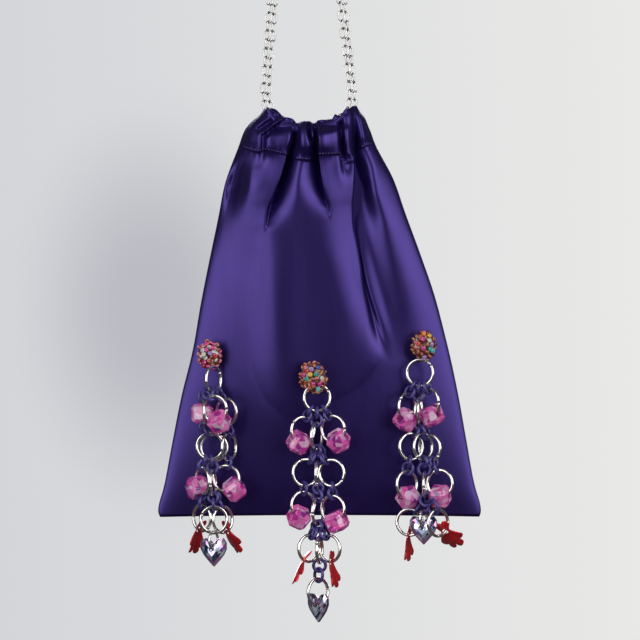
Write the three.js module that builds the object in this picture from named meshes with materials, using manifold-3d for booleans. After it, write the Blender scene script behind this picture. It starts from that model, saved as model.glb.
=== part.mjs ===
// A satin drawstring pouch on a doubled chain handle, with three jewelled ring drops on its front.
// Millimetres, +Z up, the front faces -Y. The origin is the underside of the chain's top bend,
// the place where the bag hangs.
import * as THREE from "three";
import { mergeVertices } from "three/addons/utils/BufferGeometryUtils.js";
import { ConvexGeometry } from "three/addons/geometries/ConvexGeometry.js";
import Module from "manifold-3d";

const wasm = await Module();
wasm.setup();

// Driving sizes of the pouch
const WALL = 1.6;
const SEAM_GAP = 0.3;
const SEAM_HALF = SEAM_GAP / 2 + WALL;
const STITCH_Z = -223;
const SIDE_CURVE = 2.2;
const MOUTH_HALF = 4;
const MOUTH_END = 0.8;
const FOLD_FADE = 0.15;
const FRONT_COLUMNS = 32;
const BACK_COLUMNS = 24;
const WELD = 1e-4;

// Sections of a panel from the bottom seam up. z is the height at the middle and rise how much higher
// the side seams are. half is the half width, sway the middle's shift, depth the swell at the middle,
// fullness how square the section is and folds the share of the fold depth, which fades at the seams.
// A section with a tilt is that much lower at its right seam than at its left one. A section with a
// mouth is in the casing, where mouth is the share of the open half gap.
const SECTIONS = [
  { z: -433.0, rise: -1.0, half: 92.6, sway: 0.0, depth: 0.0, fullness: 2.5, folds: 0, tilt: 4.4 },
  { z: -430.0, rise: -0.8, half: 93.6, sway: 0.0, depth: 0.6, fullness: 2.5, folds: 0, tilt: 4.2 },
  { z: -415.0, rise: -0.5, half: 89.8, sway: 0.2, depth: 3.2, fullness: 2.5, folds: 1, tilt: 3.4 },
  { z: -391.0, rise: 0.0, half: 85.2, sway: 0.8, depth: 6.0, fullness: 2.5, folds: 1, tilt: 2.0 },
  { z: -365.0, rise: 0.0, half: 80.2, sway: 1.6, depth: 8.2, fullness: 2.5, folds: 1, tilt: 0.8 },
  { z: -336.0, rise: 0.0, half: 73.4, sway: 2.6, depth: 10.0, fullness: 2.5, folds: 1 },
  { z: -310.0, rise: 0.0, half: 67.8, sway: 2.1, depth: 11.4, fullness: 2.5, folds: 1 },
  { z: -286.0, rise: 0.5, half: 61.2, sway: 1.0, depth: 12.6, fullness: 2.5, folds: 1 },
  { z: -264.0, rise: 1.5, half: 54.6, sway: -0.2, depth: 13.4, fullness: 2.6, folds: 1 },
  { z: -246.0, rise: 4.0, half: 49.0, sway: -1.2, depth: 13.4, fullness: 3.0, folds: 1 },
  { z: -229.0, rise: 7.5, half: 40.0, sway: -2.2, depth: 12.4, fullness: 4.0, folds: 0.8 },
  { z: -218.0, rise: 6.5, half: 36.4, sway: -2.0, depth: 14.6, fullness: 5.0, folds: 0.6, mouth: 1 },
  { z: -210.5, rise: 6.5, half: 32.0, sway: -0.6, depth: 13.4, fullness: 5.0, folds: 0.6, mouth: 1 },
];
const RIDGE = { z: -206.8, rise: 8.4, half: 26.6, sway: 0.8, middle: 8.0, side: 1.2 };

// Folds that run down from the stitch line. top, bend and foot steer the fold's middle line across the
// bag, footZ is the height where it dies out, and wide and broad are its half width at top and foot.
const FRONT_FOLDS = [
  { top: -28, bend: -36, foot: -42, footZ: -268, depth: 3.6, wide: 3.6, broad: 8 },
  { top: -12.5, bend: -42, foot: -19, footZ: -380, depth: 6.2, wide: 3.4, broad: 13 },
  { top: 3.2, bend: 2.6, foot: 1.8, footZ: -330, depth: 5.2, wide: 3.0, broad: 8 },
  { top: 17.8, bend: 18, foot: 20, footZ: -250, depth: 2.4, wide: 2.4, broad: 4 },
  { top: 24.5, bend: 25.5, foot: 44, footZ: -342, depth: 6.2, wide: 3.2, broad: 10 },
  { top: 30, bend: 36, foot: 44, footZ: -285, depth: 2.4, wide: 2.6, broad: 8 },
];
const BACK_FOLDS = [
  { top: -27, bend: -36, foot: -44, footZ: -320, depth: 5.0, wide: 3.6, broad: 10 },
  { top: -11, bend: -14, foot: -20, footZ: -360, depth: 6.0, wide: 3.6, broad: 12 },
  { top: 5, bend: 8, foot: 6, footZ: -310, depth: 5.0, wide: 3.4, broad: 9 },
  { top: 22, bend: 34, foot: 36, footZ: -350, depth: 6.0, wide: 3.6, broad: 12 },
];

// The right half of a chain loop inside its casing, from the middle to above the ear of the neck
const CHAIN = { radius: 2.3, sides: 8, shift: 1.3, climbSteps: 4 };
const BEND = { radius: 8, from: 4, steps: 4, y: 3.2 };
const TUNNEL = { radius: 3.3, sides: 8 };
const CASING_RUN = [
  { x: 0, y: 8.0, z: -212.2 },
  { x: 8, y: 7.8, z: -211.3 },
  { x: 15, y: 7.0, z: -208.6 },
  { x: 20.3, y: 6.0, z: -204.6 },
  { x: 23.8, y: 5.2, z: -199 },
  { x: 25.2, y: 4.8, z: -191 },
];

// Jump rings, the links between them, beads, hearts and flowers of the drops
const RING = { radius: 7.55, wire: 0.95 };
const BAIL = { radius: 5.0, wire: 0.75 };
const RING_SIDES = 10;
const WIRE_SIDES = 5;
const BUNDLE = { margin: { x: 0.8, y: 1.6, z: 1.6 }, sides: 8, smooth: 0.05 };
const CLEARANCE = 0.4;
const BEAD = { half: 5.7, flat: 3.6, out: 7.6, hole: 6.2, holeRadius: 3.2 };
const HEART = { width: 17, height: 16.6, crown: 2.6, girdle: 0.8, table: 0.5, points: 14 };
const HEART_CURVE = { waves: [13, -5, -2, -1], middle: 2.5, span: 29, power: 2 };
const HEART_HOLE = { z: 1.9, radius: 1.8, lift: 0.2 };
const FLOWER = { notch: 0.45, shoulder: 0.9, spread: 0.7, half: 2.4, thick: 0.8, cup: 2.2, holeRadius: 1.75 };
const KNOT = { depth: 6, around: 10, rows: 7 };
const DRILL = { length: 40, sides: 8 };

// Petals of a flower round its hole: the long ones hang outwards, and the short ones stand inside the ring
const PETALS = [
  { angle: -36, reach: 10.6 },
  { angle: -12, reach: 14.6 },
  { angle: 11, reach: 15.4 },
  { angle: 32, reach: 13.4 },
  { angle: 150, reach: 6.6 },
  { angle: 205, reach: 7 },
];

// Rings of a drop, placed from its first ring: x to the right, z up, fore towards the viewer and yaw the
// turn about Z. on names the ring that carries it by a bundle of links. A bead or a flower sits on a
// ring's wire at an angle from the ring's own right-hand side. turn swings a flower on its hole, and hang
// is the share of the way that its long petals drop from outwards to straight down.
const DROPS = [
  {
    name: "left",
    cluster: { x: -61.2, z: -340.8, halfX: 7.2, halfZ: 9, seat: 0.6 },
    first: { x: -59.1, z: -354.8, fore: 4, yaw: 58 },
    rings: [
      { name: "b1", on: "a", x: -6.2, z: -18.5, fore: 4, yaw: -84 },
      { name: "b2", on: "a", x: 7, z: -18.9, fore: -2, yaw: -40 },
      { name: "b3", on: "a", x: 0.9, z: -16.8, fore: 8.2, yaw: -30 },
      { name: "c1", on: "b1", x: -2.9, z: -38.2, fore: 4, yaw: 5 },
      { name: "c2", on: "b1", x: -0.6, z: -39.1, fore: 1.6, yaw: 5 },
      { name: "c3", on: "b2", x: 7.9, z: -39.1, fore: -1, yaw: 60 },
      { name: "d1", on: "c1", x: -7.7, z: -57.8, fore: 5, yaw: -58 },
      { name: "d2", on: "c1", x: -1.6, z: -59.2, fore: 4, yaw: 80 },
      { name: "d3", on: "c3", x: 5.9, z: -57.3, fore: -1, yaw: -10 },
      { name: "e1", on: "d1", x: -8.6, z: -79.4, fore: 0, yaw: -47 },
      { name: "e2", on: "d2", x: -1.6, z: -80.4, fore: 5.5, yaw: 0 },
      { name: "e3", on: "d2", x: 3.3, z: -80.7, fore: 0, yaw: 46 },
      { name: "bail", on: "e2", x: -2.1, z: -92.2, fore: 5.5, yaw: 62, size: BAIL },
    ],
    beads: [
      { on: "b3", angle: -73 },
      { on: "b1", angle: 190 },
      { on: "d1", angle: 212 },
      { on: "d3", angle: -54 },
    ],
    flowers: [
      { on: "e1", angle: 240, turn: -14, hang: 0.6 },
      { on: "e3", angle: 293, turn: 15, hang: 1 },
    ],
    heart: "bail",
  },
  {
    name: "middle",
    cluster: { x: -1.8, z: -355, halfX: 8.3, halfZ: 10, seat: 0 },
    first: { x: 0.2, z: -366.7, fore: 1.8, yaw: 8 },
    rings: [
      { name: "b1", on: "a", x: -8.6, z: -18.4, fore: 0, yaw: 30 },
      { name: "b2", on: "a", x: -0.8, z: -22, fore: 0, yaw: 66 },
      { name: "b3", on: "a", x: 8.8, z: -18.2, fore: 0, yaw: -30 },
      { name: "c1", on: "b2", x: -7.8, z: -42.8, fore: 0, yaw: 20 },
      { name: "c2", on: "b2", x: -0.6, z: -43.8, fore: 0, yaw: 80 },
      { name: "c3", on: "b2", x: 7.4, z: -43.4, fore: 0, yaw: -20 },
      { name: "d1", on: "c1", x: -9.6, z: -61.3, fore: 0, yaw: 30 },
      { name: "d2", on: "c2", x: -1.2, z: -65.3, fore: 0, yaw: 66 },
      { name: "d3", on: "c3", x: 7.5, z: -64, fore: 0, yaw: -30 },
      { name: "e1", on: "d2", x: -6.8, z: -86.4, fore: 0, yaw: 40 },
      { name: "e2", on: "d2", x: -0.8, z: -87.3, fore: 0, yaw: 78 },
      { name: "e3", on: "d2", x: 5.2, z: -86.8, fore: 0, yaw: -40 },
      { name: "f", on: "e2", x: -2.2, z: -111.4, fore: 0, yaw: 42 },
    ],
    beads: [
      { on: "b1", angle: 246 },
      { on: "b3", angle: -64 },
      { on: "d1", angle: 246 },
      { on: "d3", angle: -72 },
    ],
    flowers: [
      { on: "e1", angle: 232, turn: 26, hang: 0.7 },
      { on: "e3", angle: 270, turn: -21, hang: 1 },
    ],
    heart: "f",
  },
  {
    name: "right",
    cluster: { x: 62.4, z: -338.6, halfX: 7.5, halfZ: 9.5, seat: 0.4 },
    first: { x: 59.8, z: -353.9, fore: 3, yaw: -10 },
    rings: [
      { name: "b1", on: "a", x: -7.9, z: -19.3, fore: 0.3, yaw: 50 },
      { name: "b2", on: "a", x: -1.2, z: -21.7, fore: 0, yaw: 85 },
      { name: "b3", on: "a", x: 5.3, z: -17.2, fore: 0, yaw: -50 },
      { name: "c1", on: "b2", x: -6.2, z: -42.3, fore: 0, yaw: 28 },
      { name: "c2", on: "b2", x: 0.7, z: -42.5, fore: 0, yaw: 45 },
      { name: "c3", on: "b2", x: 4.6, z: -43.5, fore: -3, yaw: -38 },
      { name: "d1", on: "c1", x: -9.2, z: -63.9, fore: 0, yaw: 40 },
      { name: "d2", on: "c2", x: 1.2, z: -64.8, fore: 0, yaw: 82 },
      { name: "d3", on: "c3", x: 9.9, z: -63.8, fore: 0, yaw: -20 },
      { name: "e1", on: "d2", x: -8, z: -86, fore: -3.6, yaw: -15 },
      { name: "bail", on: "d2", x: -0.3, z: -83.7, fore: 3, yaw: 66, size: BAIL },
      { name: "e3", on: "d2", x: 8, z: -86.2, fore: 7, yaw: 40 },
    ],
    beads: [
      { on: "b1", angle: 256 },
      { on: "b3", angle: -78 },
      { on: "d1", angle: 275 },
      { on: "d3", angle: -92 },
    ],
    flowers: [
      { on: "e1", angle: 258, turn: 3, hang: 0 },
      { on: "e3", angle: 315, turn: -24, hang: 0.2 },
    ],
    heart: "bail",
  },
];

// Finishes
const finish = (color, roughness, metalness) =>
  new THREE.MeshStandardMaterial({ color, roughness, metalness });
const SATIN = finish(0x3c2a80, 0.45, 0);
const STEEL = finish(0xd8d6d0, 0.2, 1);
const PINK = finish(0xe65cb4, 0.15, 0);
const CRYSTAL = finish(0xc8c8e6, 0.08, 0);
const RED = finish(0xb4141e, 0.25, 0.6);
const SEED_BEADS = finish(0xc85078, 0.25, 0);

const UP = new THREE.Vector3(0, 0, 1);
const radians = THREE.MathUtils.degToRad;
const mix = THREE.MathUtils.lerp;

// A closed solid for joining and cutting, from a geometry
function solidOf(geometry) {
  const bare = geometry.clone();
  bare.deleteAttribute("normal");
  bare.deleteAttribute("uv");
  const merged = mergeVertices(bare, WELD);
  const vertProperties = new Float32Array(merged.attributes.position.array);
  const triVerts = new Uint32Array(merged.index.array);
  return new wasm.Manifold(new wasm.Mesh({ numProp: 3, vertProperties, triVerts }));
}

function geometryOf(solid) {
  const mesh = solid.getMesh();
  const geometry = new THREE.BufferGeometry();
  geometry.setAttribute("position", new THREE.BufferAttribute(mesh.vertProperties, 3));
  geometry.setIndex(new THREE.BufferAttribute(mesh.triVerts, 1));
  geometry.computeVertexNormals();
  return geometry;
}

// An indexed geometry whose faces point out, from points and quads or triangles
function skin(points, faces) {
  const index = faces.flatMap(([a, b, c, d]) => (d === undefined ? [a, b, c] : [a, b, c, a, c, d]));
  let volume = 0;
  for (let i = 0; i < index.length; i += 3) {
    const [a, b, c] = index.slice(i, i + 3).map((k) => points[k]);
    volume += a.dot(new THREE.Vector3().crossVectors(b, c));
  }
  const geometry = new THREE.BufferGeometry().setFromPoints(points);
  geometry.setIndex(volume < 0 ? index.reverse() : index);
  geometry.computeVertexNormals();
  return geometry;
}

function named(name, geometry, material) {
  const mesh = new THREE.Mesh(geometry, material.clone());
  mesh.name = name;
  return mesh;
}

// How far the folds press a panel in at a point of it
function foldDepth(folds, x, z) {
  let depth = 0;
  for (const fold of folds) {
    const t = THREE.MathUtils.clamp((STITCH_Z - z) / (STITCH_Z - fold.footZ), 0, 1);
    const middle = mix(mix(fold.top, fold.bend, t), mix(fold.bend, fold.foot, t), t);
    const across = (x - middle) / mix(fold.wide, fold.broad, t);
    depth += fold.depth * (1 - t) * Math.exp(-across * across);
  }
  return depth;
}

// The place of a section's point at s, from -1 at the left seam to 1 at the right one
function sectionPlace({ z, rise, half, sway, tilt = 0 }, s) {
  return { x: sway + s * half, z: z + rise * Math.abs(s) ** SIDE_CURVE - (tilt * (1 + s)) / 2 };
}

// How far a panel's outer face stands from the bag's middle plane
function outerReach(row, s, folds) {
  const { x, z } = sectionPlace(row, s);
  const edge = 1 - Math.abs(s) ** row.fullness;
  const press = row.folds * foldDepth(folds, x, z) * Math.min(1, edge / FOLD_FADE);
  return Math.max(SEAM_HALF, SEAM_HALF + row.depth * edge - press);
}

function innerReach(row, s, folds) {
  if (row.mouth === undefined) {
    return outerReach(row, s, folds) - WALL;
  }
  return SEAM_GAP / 2 + row.mouth * MOUTH_HALF * Math.max(0, 1 - (s / MOUTH_END) ** 2);
}

// One panel with its casing: side is -1 for the front and 1 for the back
function panelGeometry(side, folds, columns) {
  const across = Array.from({ length: columns + 1 }, (_, i) => (2 * i) / columns - 1);
  const layer = (reach) =>
    SECTIONS.flatMap((row) =>
      across.map((s) => {
        const { x, z } = sectionPlace(row, s);
        return new THREE.Vector3(x, side * reach(row, s, folds), z);
      }),
    );
  const ridge = across.map((s) => {
    const { x, z } = sectionPlace(RIDGE, s);
    return new THREE.Vector3(x, side * mix(RIDGE.middle, RIDGE.side, s * s * s * s), z);
  });
  const points = [...layer(outerReach), ...layer(innerReach), ...ridge];
  const stride = columns + 1;
  const inner = SECTIONS.length * stride;
  const top = 2 * inner;
  const last = (SECTIONS.length - 1) * stride;
  const faces = [];
  for (let i = 0; i < columns; i++) {
    for (let row = 0; row < SECTIONS.length - 1; row++) {
      const a = row * stride + i;
      faces.push([a, a + 1, a + 1 + stride, a + stride]);
      faces.push([inner + a, inner + a + stride, inner + a + 1 + stride, inner + a + 1]);
    }
    faces.push([i, inner + i, inner + i + 1, i + 1]);
    faces.push([last + i, last + i + 1, top + i + 1, top + i]);
    faces.push([inner + last + i, top + i, top + i + 1, inner + last + i + 1]);
  }
  for (let row = 0; row < SECTIONS.length - 1; row++) {
    const left = row * stride;
    const right = left + columns;
    faces.push([left, left + stride, inner + left + stride, inner + left]);
    faces.push([right, inner + right, inner + right + stride, right + stride]);
  }
  faces.push([last, top, inner + last]);
  faces.push([last + columns, inner + last + columns, top + columns]);
  return skin(points, faces);
}

// Where the front panel's outer face is, between two sections
function frontFace(x, z) {
  const upper = SECTIONS.findIndex((row) => row.z > z);
  const low = SECTIONS[upper - 1];
  const high = SECTIONS[upper];
  const t = (z - low.z) / (high.z - low.z);
  const reachAt = (row) => outerReach(row, (x - row.sway) / row.half, FRONT_FOLDS);
  return -mix(reachAt(low), reachAt(high), t);
}

// A tube round a run of points that lies nearly in a plane of constant Y, closed on itself or capped
function tubeGeometry(run, radius, sides, closed) {
  const count = run.length;
  const across = new THREE.Vector3(0, 1, 0);
  const points = [];
  run.forEach((point, i) => {
    const before = closed ? run[(i + count - 1) % count] : run[Math.max(0, i - 1)];
    const after = closed ? run[(i + 1) % count] : run[Math.min(count - 1, i + 1)];
    const along = new THREE.Vector3().subVectors(after, before).normalize();
    const out = new THREE.Vector3().crossVectors(along, across).normalize();
    const level = new THREE.Vector3().crossVectors(out, along);
    for (let k = 0; k < sides; k++) {
      const angle = (2 * Math.PI * k) / sides;
      const offset = out.clone().multiplyScalar(Math.cos(angle)).addScaledVector(level, Math.sin(angle));
      points.push(point.clone().addScaledVector(offset, radius));
    }
  });
  const faces = [];
  for (let i = 0; i < (closed ? count : count - 1); i++) {
    for (let k = 0; k < sides; k++) {
      const next = (k + 1) % sides;
      const here = i * sides;
      const there = ((i + 1) % count) * sides;
      faces.push([here + k, here + next, there + next, there + k]);
    }
  }
  if (!closed) {
    const end = (count - 1) * sides;
    for (let k = 1; k < sides - 1; k++) {
      faces.push([0, k + 1, k]);
      faces.push([end, end + k, end + k + 1]);
    }
  }
  return skin(points, faces);
}

const mirrored = (points) => points.map((p) => new THREE.Vector3(-p.x, p.y, p.z)).reverse();

// The back loop hangs a little to the right of the front one, so that both strands show
const shifted = (point, side) => point.setX(point.x + side * CHAIN.shift);

function casingRun(side) {
  const half = CASING_RUN.map(({ x, y, z }) => new THREE.Vector3(x, side * y, z));
  const run = [...mirrored(half.slice(1)), ...half];
  return run.map((point) => shifted(point, side));
}

// A whole chain loop as a tube: through the casing, up both sides and round the bend where it hangs
function chainGeometry(side) {
  const { radius, sides, climbSteps } = CHAIN;
  const arc = Array.from({ length: BEND.steps }, (_, i) => {
    const angle = radians(mix(BEND.from, 90, i / (BEND.steps - 1)));
    const high = radius - BEND.radius + BEND.radius * Math.sin(angle);
    return new THREE.Vector3(BEND.radius * Math.cos(angle), side * BEND.y, high);
  });
  const ear = CASING_RUN.at(-1);
  const earPoint = new THREE.Vector3(ear.x, side * ear.y, ear.z);
  const between = (i) => earPoint.clone().lerp(arc[0], (i + 1) / climbSteps);
  const climb = Array.from({ length: climbSteps - 1 }, (_, i) => between(i));
  const right = [...climb, ...arc];
  const left = mirrored(right.slice(0, -1));
  const above = [...right, ...left].map((point) => shifted(point, side));
  return tubeGeometry([...casingRun(side), ...above], radius, sides, true);
}

function panel(name, side, folds, columns) {
  const tunnel = tubeGeometry(casingRun(side), TUNNEL.radius, TUNNEL.sides, false);
  const cloth = solidOf(panelGeometry(side, folds, columns)).subtract(solidOf(tunnel));
  return named(name, geometryOf(cloth), SATIN);
}

const heading = (yaw) => new THREE.Vector3(Math.cos(radians(yaw)), Math.sin(radians(yaw)), 0);

// A wire ring that stands upright, turned by yaw, with a corner at its top and bottom
function ringGeometry(size, centre, yaw, extra = 0) {
  const ring = new THREE.TorusGeometry(size.radius, size.wire + extra, WIRE_SIDES, RING_SIDES);
  ring.rotateZ(Math.PI / 2).rotateX(Math.PI / 2).rotateZ(radians(yaw));
  return ring.translate(centre.x, centre.y, centre.z);
}

// Every ring of a drop with its centre from the first one
function placedRings(drop) {
  const rings = { a: { centre: new THREE.Vector3(), yaw: drop.first.yaw, size: RING } };
  for (const { name, on, x, z, fore, yaw, size = RING } of drop.rings) {
    rings[name] = { centre: new THREE.Vector3(x, -fore, z), yaw, size, on };
  }
  return rings;
}

// The point of a ring's wire that is nearest to another point
function nearestWire(ring, point) {
  const offset = point.clone().sub(ring.centre);
  const across = heading(ring.yaw);
  const way = new THREE.Vector2(offset.dot(across), offset.dot(UP)).setLength(ring.size.radius);
  return ring.centre.clone().addScaledVector(across, way.x).addScaledVector(UP, way.y);
}

// The bundle of links between a ring and those that it carries, as one bar across the drop
function bundleGeometry(ring, carried) {
  const ends = carried.flatMap((one) => {
    const upper = nearestWire(ring, one.centre);
    return [upper, nearestWire(one, upper)];
  });
  const { x, y, z } = BUNDLE.margin;
  const box = new THREE.Box3().setFromPoints(ends).expandByVector(new THREE.Vector3(x, y, z));
  const size = box.getSize(new THREE.Vector3());
  const centre = box.getCenter(new THREE.Vector3());
  const bar = new THREE.CylinderGeometry(0.5, 0.5, 1, BUNDLE.sides).rotateZ(Math.PI / 2);
  return bar.scale(size.x, size.y, size.z).translate(centre.x, centre.y, centre.z);
}

// All wires of a drop as one body, whose bundles leave room for the beads beside them
function ringsMesh(drop, rings, beads) {
  const all = Object.entries(rings);
  const wires = all.map(([, { size, centre, yaw }]) => solidOf(ringGeometry(size, centre, yaw)));
  const bundles = all.flatMap(([name, ring]) => {
    const carried = all.map(([, one]) => one).filter((one) => one.on === name);
    return carried.length > 0 ? [solidOf(bundleGeometry(ring, carried))] : [];
  });
  const room = beads.map((bead) => {
    bead.updateMatrix();
    return solidOf(BEAD_ROOM.clone().applyMatrix4(bead.matrix));
  });
  const trimmed = bundles.map((bundle) => room.reduce((rest, one) => rest.subtract(one), bundle));
  const fused = [...trimmed, ...wires].reduce((sum, one) => sum.add(one));
  return named(`${drop.name}_drop_rings`, geometryOf(fused.simplify(BUNDLE.smooth)), STEEL);
}

// Turns a mesh so that its own Z lies along the ring's wire at an angle and its X points out
function placeOnWire(mesh, ring, angle, out) {
  const along = heading(ring.yaw);
  const outward = along.clone().multiplyScalar(Math.cos(radians(angle)));
  outward.addScaledVector(UP, Math.sin(radians(angle)));
  const wire = along.clone().multiplyScalar(-Math.sin(radians(angle)));
  wire.addScaledVector(UP, Math.cos(radians(angle)));
  const side = new THREE.Vector3().crossVectors(wire, outward);
  mesh.quaternion.setFromRotationMatrix(new THREE.Matrix4().makeBasis(outward, side, wire));
  mesh.position.copy(ring.centre).addScaledVector(outward, out);
  return mesh;
}

// A long prism along Z that cuts a hole
function drillGeometry(radius) {
  return new THREE.CylinderGeometry(radius, radius, DRILL.length, DRILL.sides).rotateX(Math.PI / 2);
}

// A cube bead with every edge and corner cut flat, before it is drilled
function beadBlank(half, flat) {
  const corners = [];
  for (const x of [-1, 1]) {
    for (const y of [-1, 1]) {
      for (const z of [-1, 1]) {
        corners.push(new THREE.Vector3(x * half, y * flat, z * flat));
        corners.push(new THREE.Vector3(x * flat, y * half, z * flat));
        corners.push(new THREE.Vector3(x * flat, y * flat, z * half));
      }
    }
  }
  return new ConvexGeometry(corners);
}

function beadGeometry() {
  const { half, flat, hole, holeRadius, out } = BEAD;
  const drill = drillGeometry(holeRadius).translate(hole - out, 0, 0);
  return geometryOf(solidOf(beadBlank(half, flat)).subtract(solidOf(drill)));
}

// A cut heart that faces Y, with a table on both faces and a hole under its notch
function heartGeometry() {
  const { points: count, width, height, crown, girdle, table } = HEART;
  const { waves, middle, span, power } = HEART_CURVE;
  const outline = Array.from({ length: count }, (_, k) => {
    const t = (2 * Math.PI * k) / count;
    const high = waves.reduce((sum, wave, i) => sum + wave * Math.cos((i + 1) * t), middle);
    const aside = Math.sign(Math.sin(t)) * Math.abs(Math.sin(t)) ** power;
    return new THREE.Vector2((width / 2) * aside, (height * high) / span);
  });
  const layers = [
    { y: -crown, size: table },
    { y: -girdle, size: 1 },
    { y: girdle, size: 1 },
    { y: crown, size: table },
  ];
  const layerPoints = ({ y, size }) => outline.map((p) => new THREE.Vector3(p.x * size, y, p.y * size));
  const points = layers.flatMap(layerPoints);
  const faces = [];
  for (let layer = 0; layer < layers.length - 1; layer++) {
    for (let k = 0; k < count; k++) {
      const a = layer * count + k;
      const b = layer * count + ((k + 1) % count);
      faces.push([a, b, b + count, a + count]);
    }
  }
  const back = (layers.length - 1) * count;
  for (const [a, b, c] of THREE.ShapeUtils.triangulateShape(outline, [])) {
    const turned = THREE.ShapeUtils.isClockWise([outline[a], outline[b], outline[c]]);
    faces.push(turned ? [a, c, b] : [a, b, c]);
    faces.push(turned ? [back + a, back + b, back + c] : [back + a, back + c, back + b]);
  }
  const drill = drillGeometry(HEART_HOLE.radius).rotateX(Math.PI / 2).translate(0, 0, HEART_HOLE.z);
  return geometryOf(solidOf(skin(points, faces)).subtract(solidOf(drill)));
}

// The rim of a flower: three points on each petal, and a notch before the next one
function flowerRim() {
  return PETALS.flatMap(({ angle, reach }, i) => {
    const next = PETALS[(i + 1) % PETALS.length];
    const gap = (next.angle - angle + 360) % 360;
    const before = (angle - PETALS.at(i - 1).angle + 360) % 360;
    const widest = THREE.MathUtils.radToDeg(FLOWER.half / reach);
    return [
      { angle: angle - Math.min(widest, (FLOWER.spread * before) / 2), reach: reach * FLOWER.shoulder },
      { angle, reach },
      { angle: angle + Math.min(widest, (FLOWER.spread * gap) / 2), reach: reach * FLOWER.shoulder },
      { angle: angle + gap / 2, reach: FLOWER.notch * Math.min(reach, next.reach) },
    ];
  });
}

// A cupped flower of thin foil that faces Z, with its hole at the origin and its long petals along X
function flowerGeometry() {
  const { thick, cup, holeRadius } = FLOWER;
  const longest = Math.max(...PETALS.map(({ reach }) => reach));
  const rim = flowerRim();
  const at = (angle, reach, lift) => {
    const turned = radians(angle);
    const high = cup * (reach / longest) ** 2 + lift;
    return new THREE.Vector3(reach * Math.cos(turned), reach * Math.sin(turned), high);
  };
  const points = [0, thick].flatMap((lift) => [
    ...rim.map(({ angle }) => at(angle, holeRadius, lift)),
    ...rim.map(({ angle, reach }) => at(angle, reach, lift)),
  ]);
  const count = rim.length;
  const faces = [];
  for (let k = 0; k < count; k++) {
    const next = (k + 1) % count;
    const corners = [k, next, count + next, count + k];
    faces.push(corners);
    faces.push(corners.map((corner) => corner + 2 * count).reverse());
    faces.push([next, k, k + 2 * count, next + 2 * count]);
    faces.push([count + k, count + next, next + 3 * count, k + 3 * count]);
  }
  return skin(points, faces);
}

function clusterMesh(drop, centre, ringCentre) {
  const { halfX, halfZ } = drop.cluster;
  const knot = new THREE.SphereGeometry(1, KNOT.around, KNOT.rows).rotateX(Math.PI / 2);
  knot.scale(halfX, KNOT.depth, halfZ);
  knot.translate(centre.x, centre.y, centre.z);
  const channel = ringGeometry(RING, ringCentre, drop.first.yaw, CLEARANCE);
  return named(`${drop.name}_bead_cluster`, geometryOf(solidOf(knot).subtract(solidOf(channel))), SEED_BEADS);
}

const BEAD_SHAPE = beadGeometry();
const BEAD_ROOM = beadBlank(BEAD.half + CLEARANCE, BEAD.flat + CLEARANCE);
const HEART_SHAPE = heartGeometry();
const FLOWER_SHAPE = flowerGeometry();

function dropGroup(drop) {
  const { cluster, first } = drop;
  const clusterY = frontFace(cluster.x, cluster.z) - KNOT.depth - cluster.seat;
  const group = new THREE.Group();
  group.position.set(first.x, clusterY - first.fore, first.z);
  const clusterCentre = new THREE.Vector3(cluster.x - first.x, first.fore, cluster.z - first.z);
  const rings = placedRings(drop);
  const beads = drop.beads.map(({ on, angle }, i) => {
    const bead = named(`${drop.name}_cube_bead_${i + 1}`, BEAD_SHAPE, PINK);
    return placeOnWire(bead, rings[on], angle, BEAD.out);
  });
  const flowers = drop.flowers.map(({ on, angle, turn, hang }, i) => {
    const flower = named(`${drop.name}_flower_${i + 1}`, FLOWER_SHAPE, RED);
    placeOnWire(flower, rings[on], angle, RING.radius).rotateX(radians(turn));
    const up = UP.clone().applyQuaternion(flower.quaternion.clone().invert());
    return flower.rotateZ(hang * Math.atan2(-up.y, -up.x));
  });
  const holder = rings[drop.heart];
  const heart = named(`${drop.name}_heart`, HEART_SHAPE, CRYSTAL);
  heart.rotation.z = radians(holder.yaw + 90);
  heart.position.copy(holder.centre).addScaledVector(UP, HEART_HOLE.lift - holder.size.radius - HEART_HOLE.z);
  group.add(clusterMesh(drop, clusterCentre, rings.a.centre), ringsMesh(drop, rings, beads));
  group.add(...beads, ...flowers, heart);
  return group;
}

const bag = new THREE.Group();
bag.add(panel("front_panel", -1, FRONT_FOLDS, FRONT_COLUMNS));
bag.add(panel("back_panel", 1, BACK_FOLDS, BACK_COLUMNS));
bag.add(named("handle_chain_front", chainGeometry(-1), STEEL));
bag.add(named("handle_chain_back", chainGeometry(1), STEEL));
for (const drop of DROPS) {
  bag.add(dropGroup(drop));
}

export default bag;
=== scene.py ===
"""A satin drawstring pouch with a doubled chain handle and three jewelled ring drops."""

import random
from itertools import product
from math import acos, atan2, copysign, cos, degrees, pi, radians, sin, sqrt
from types import SimpleNamespace as Sizes

import bmesh
import bpy
import numpy as np
from mathutils import Matrix, Vector


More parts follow.
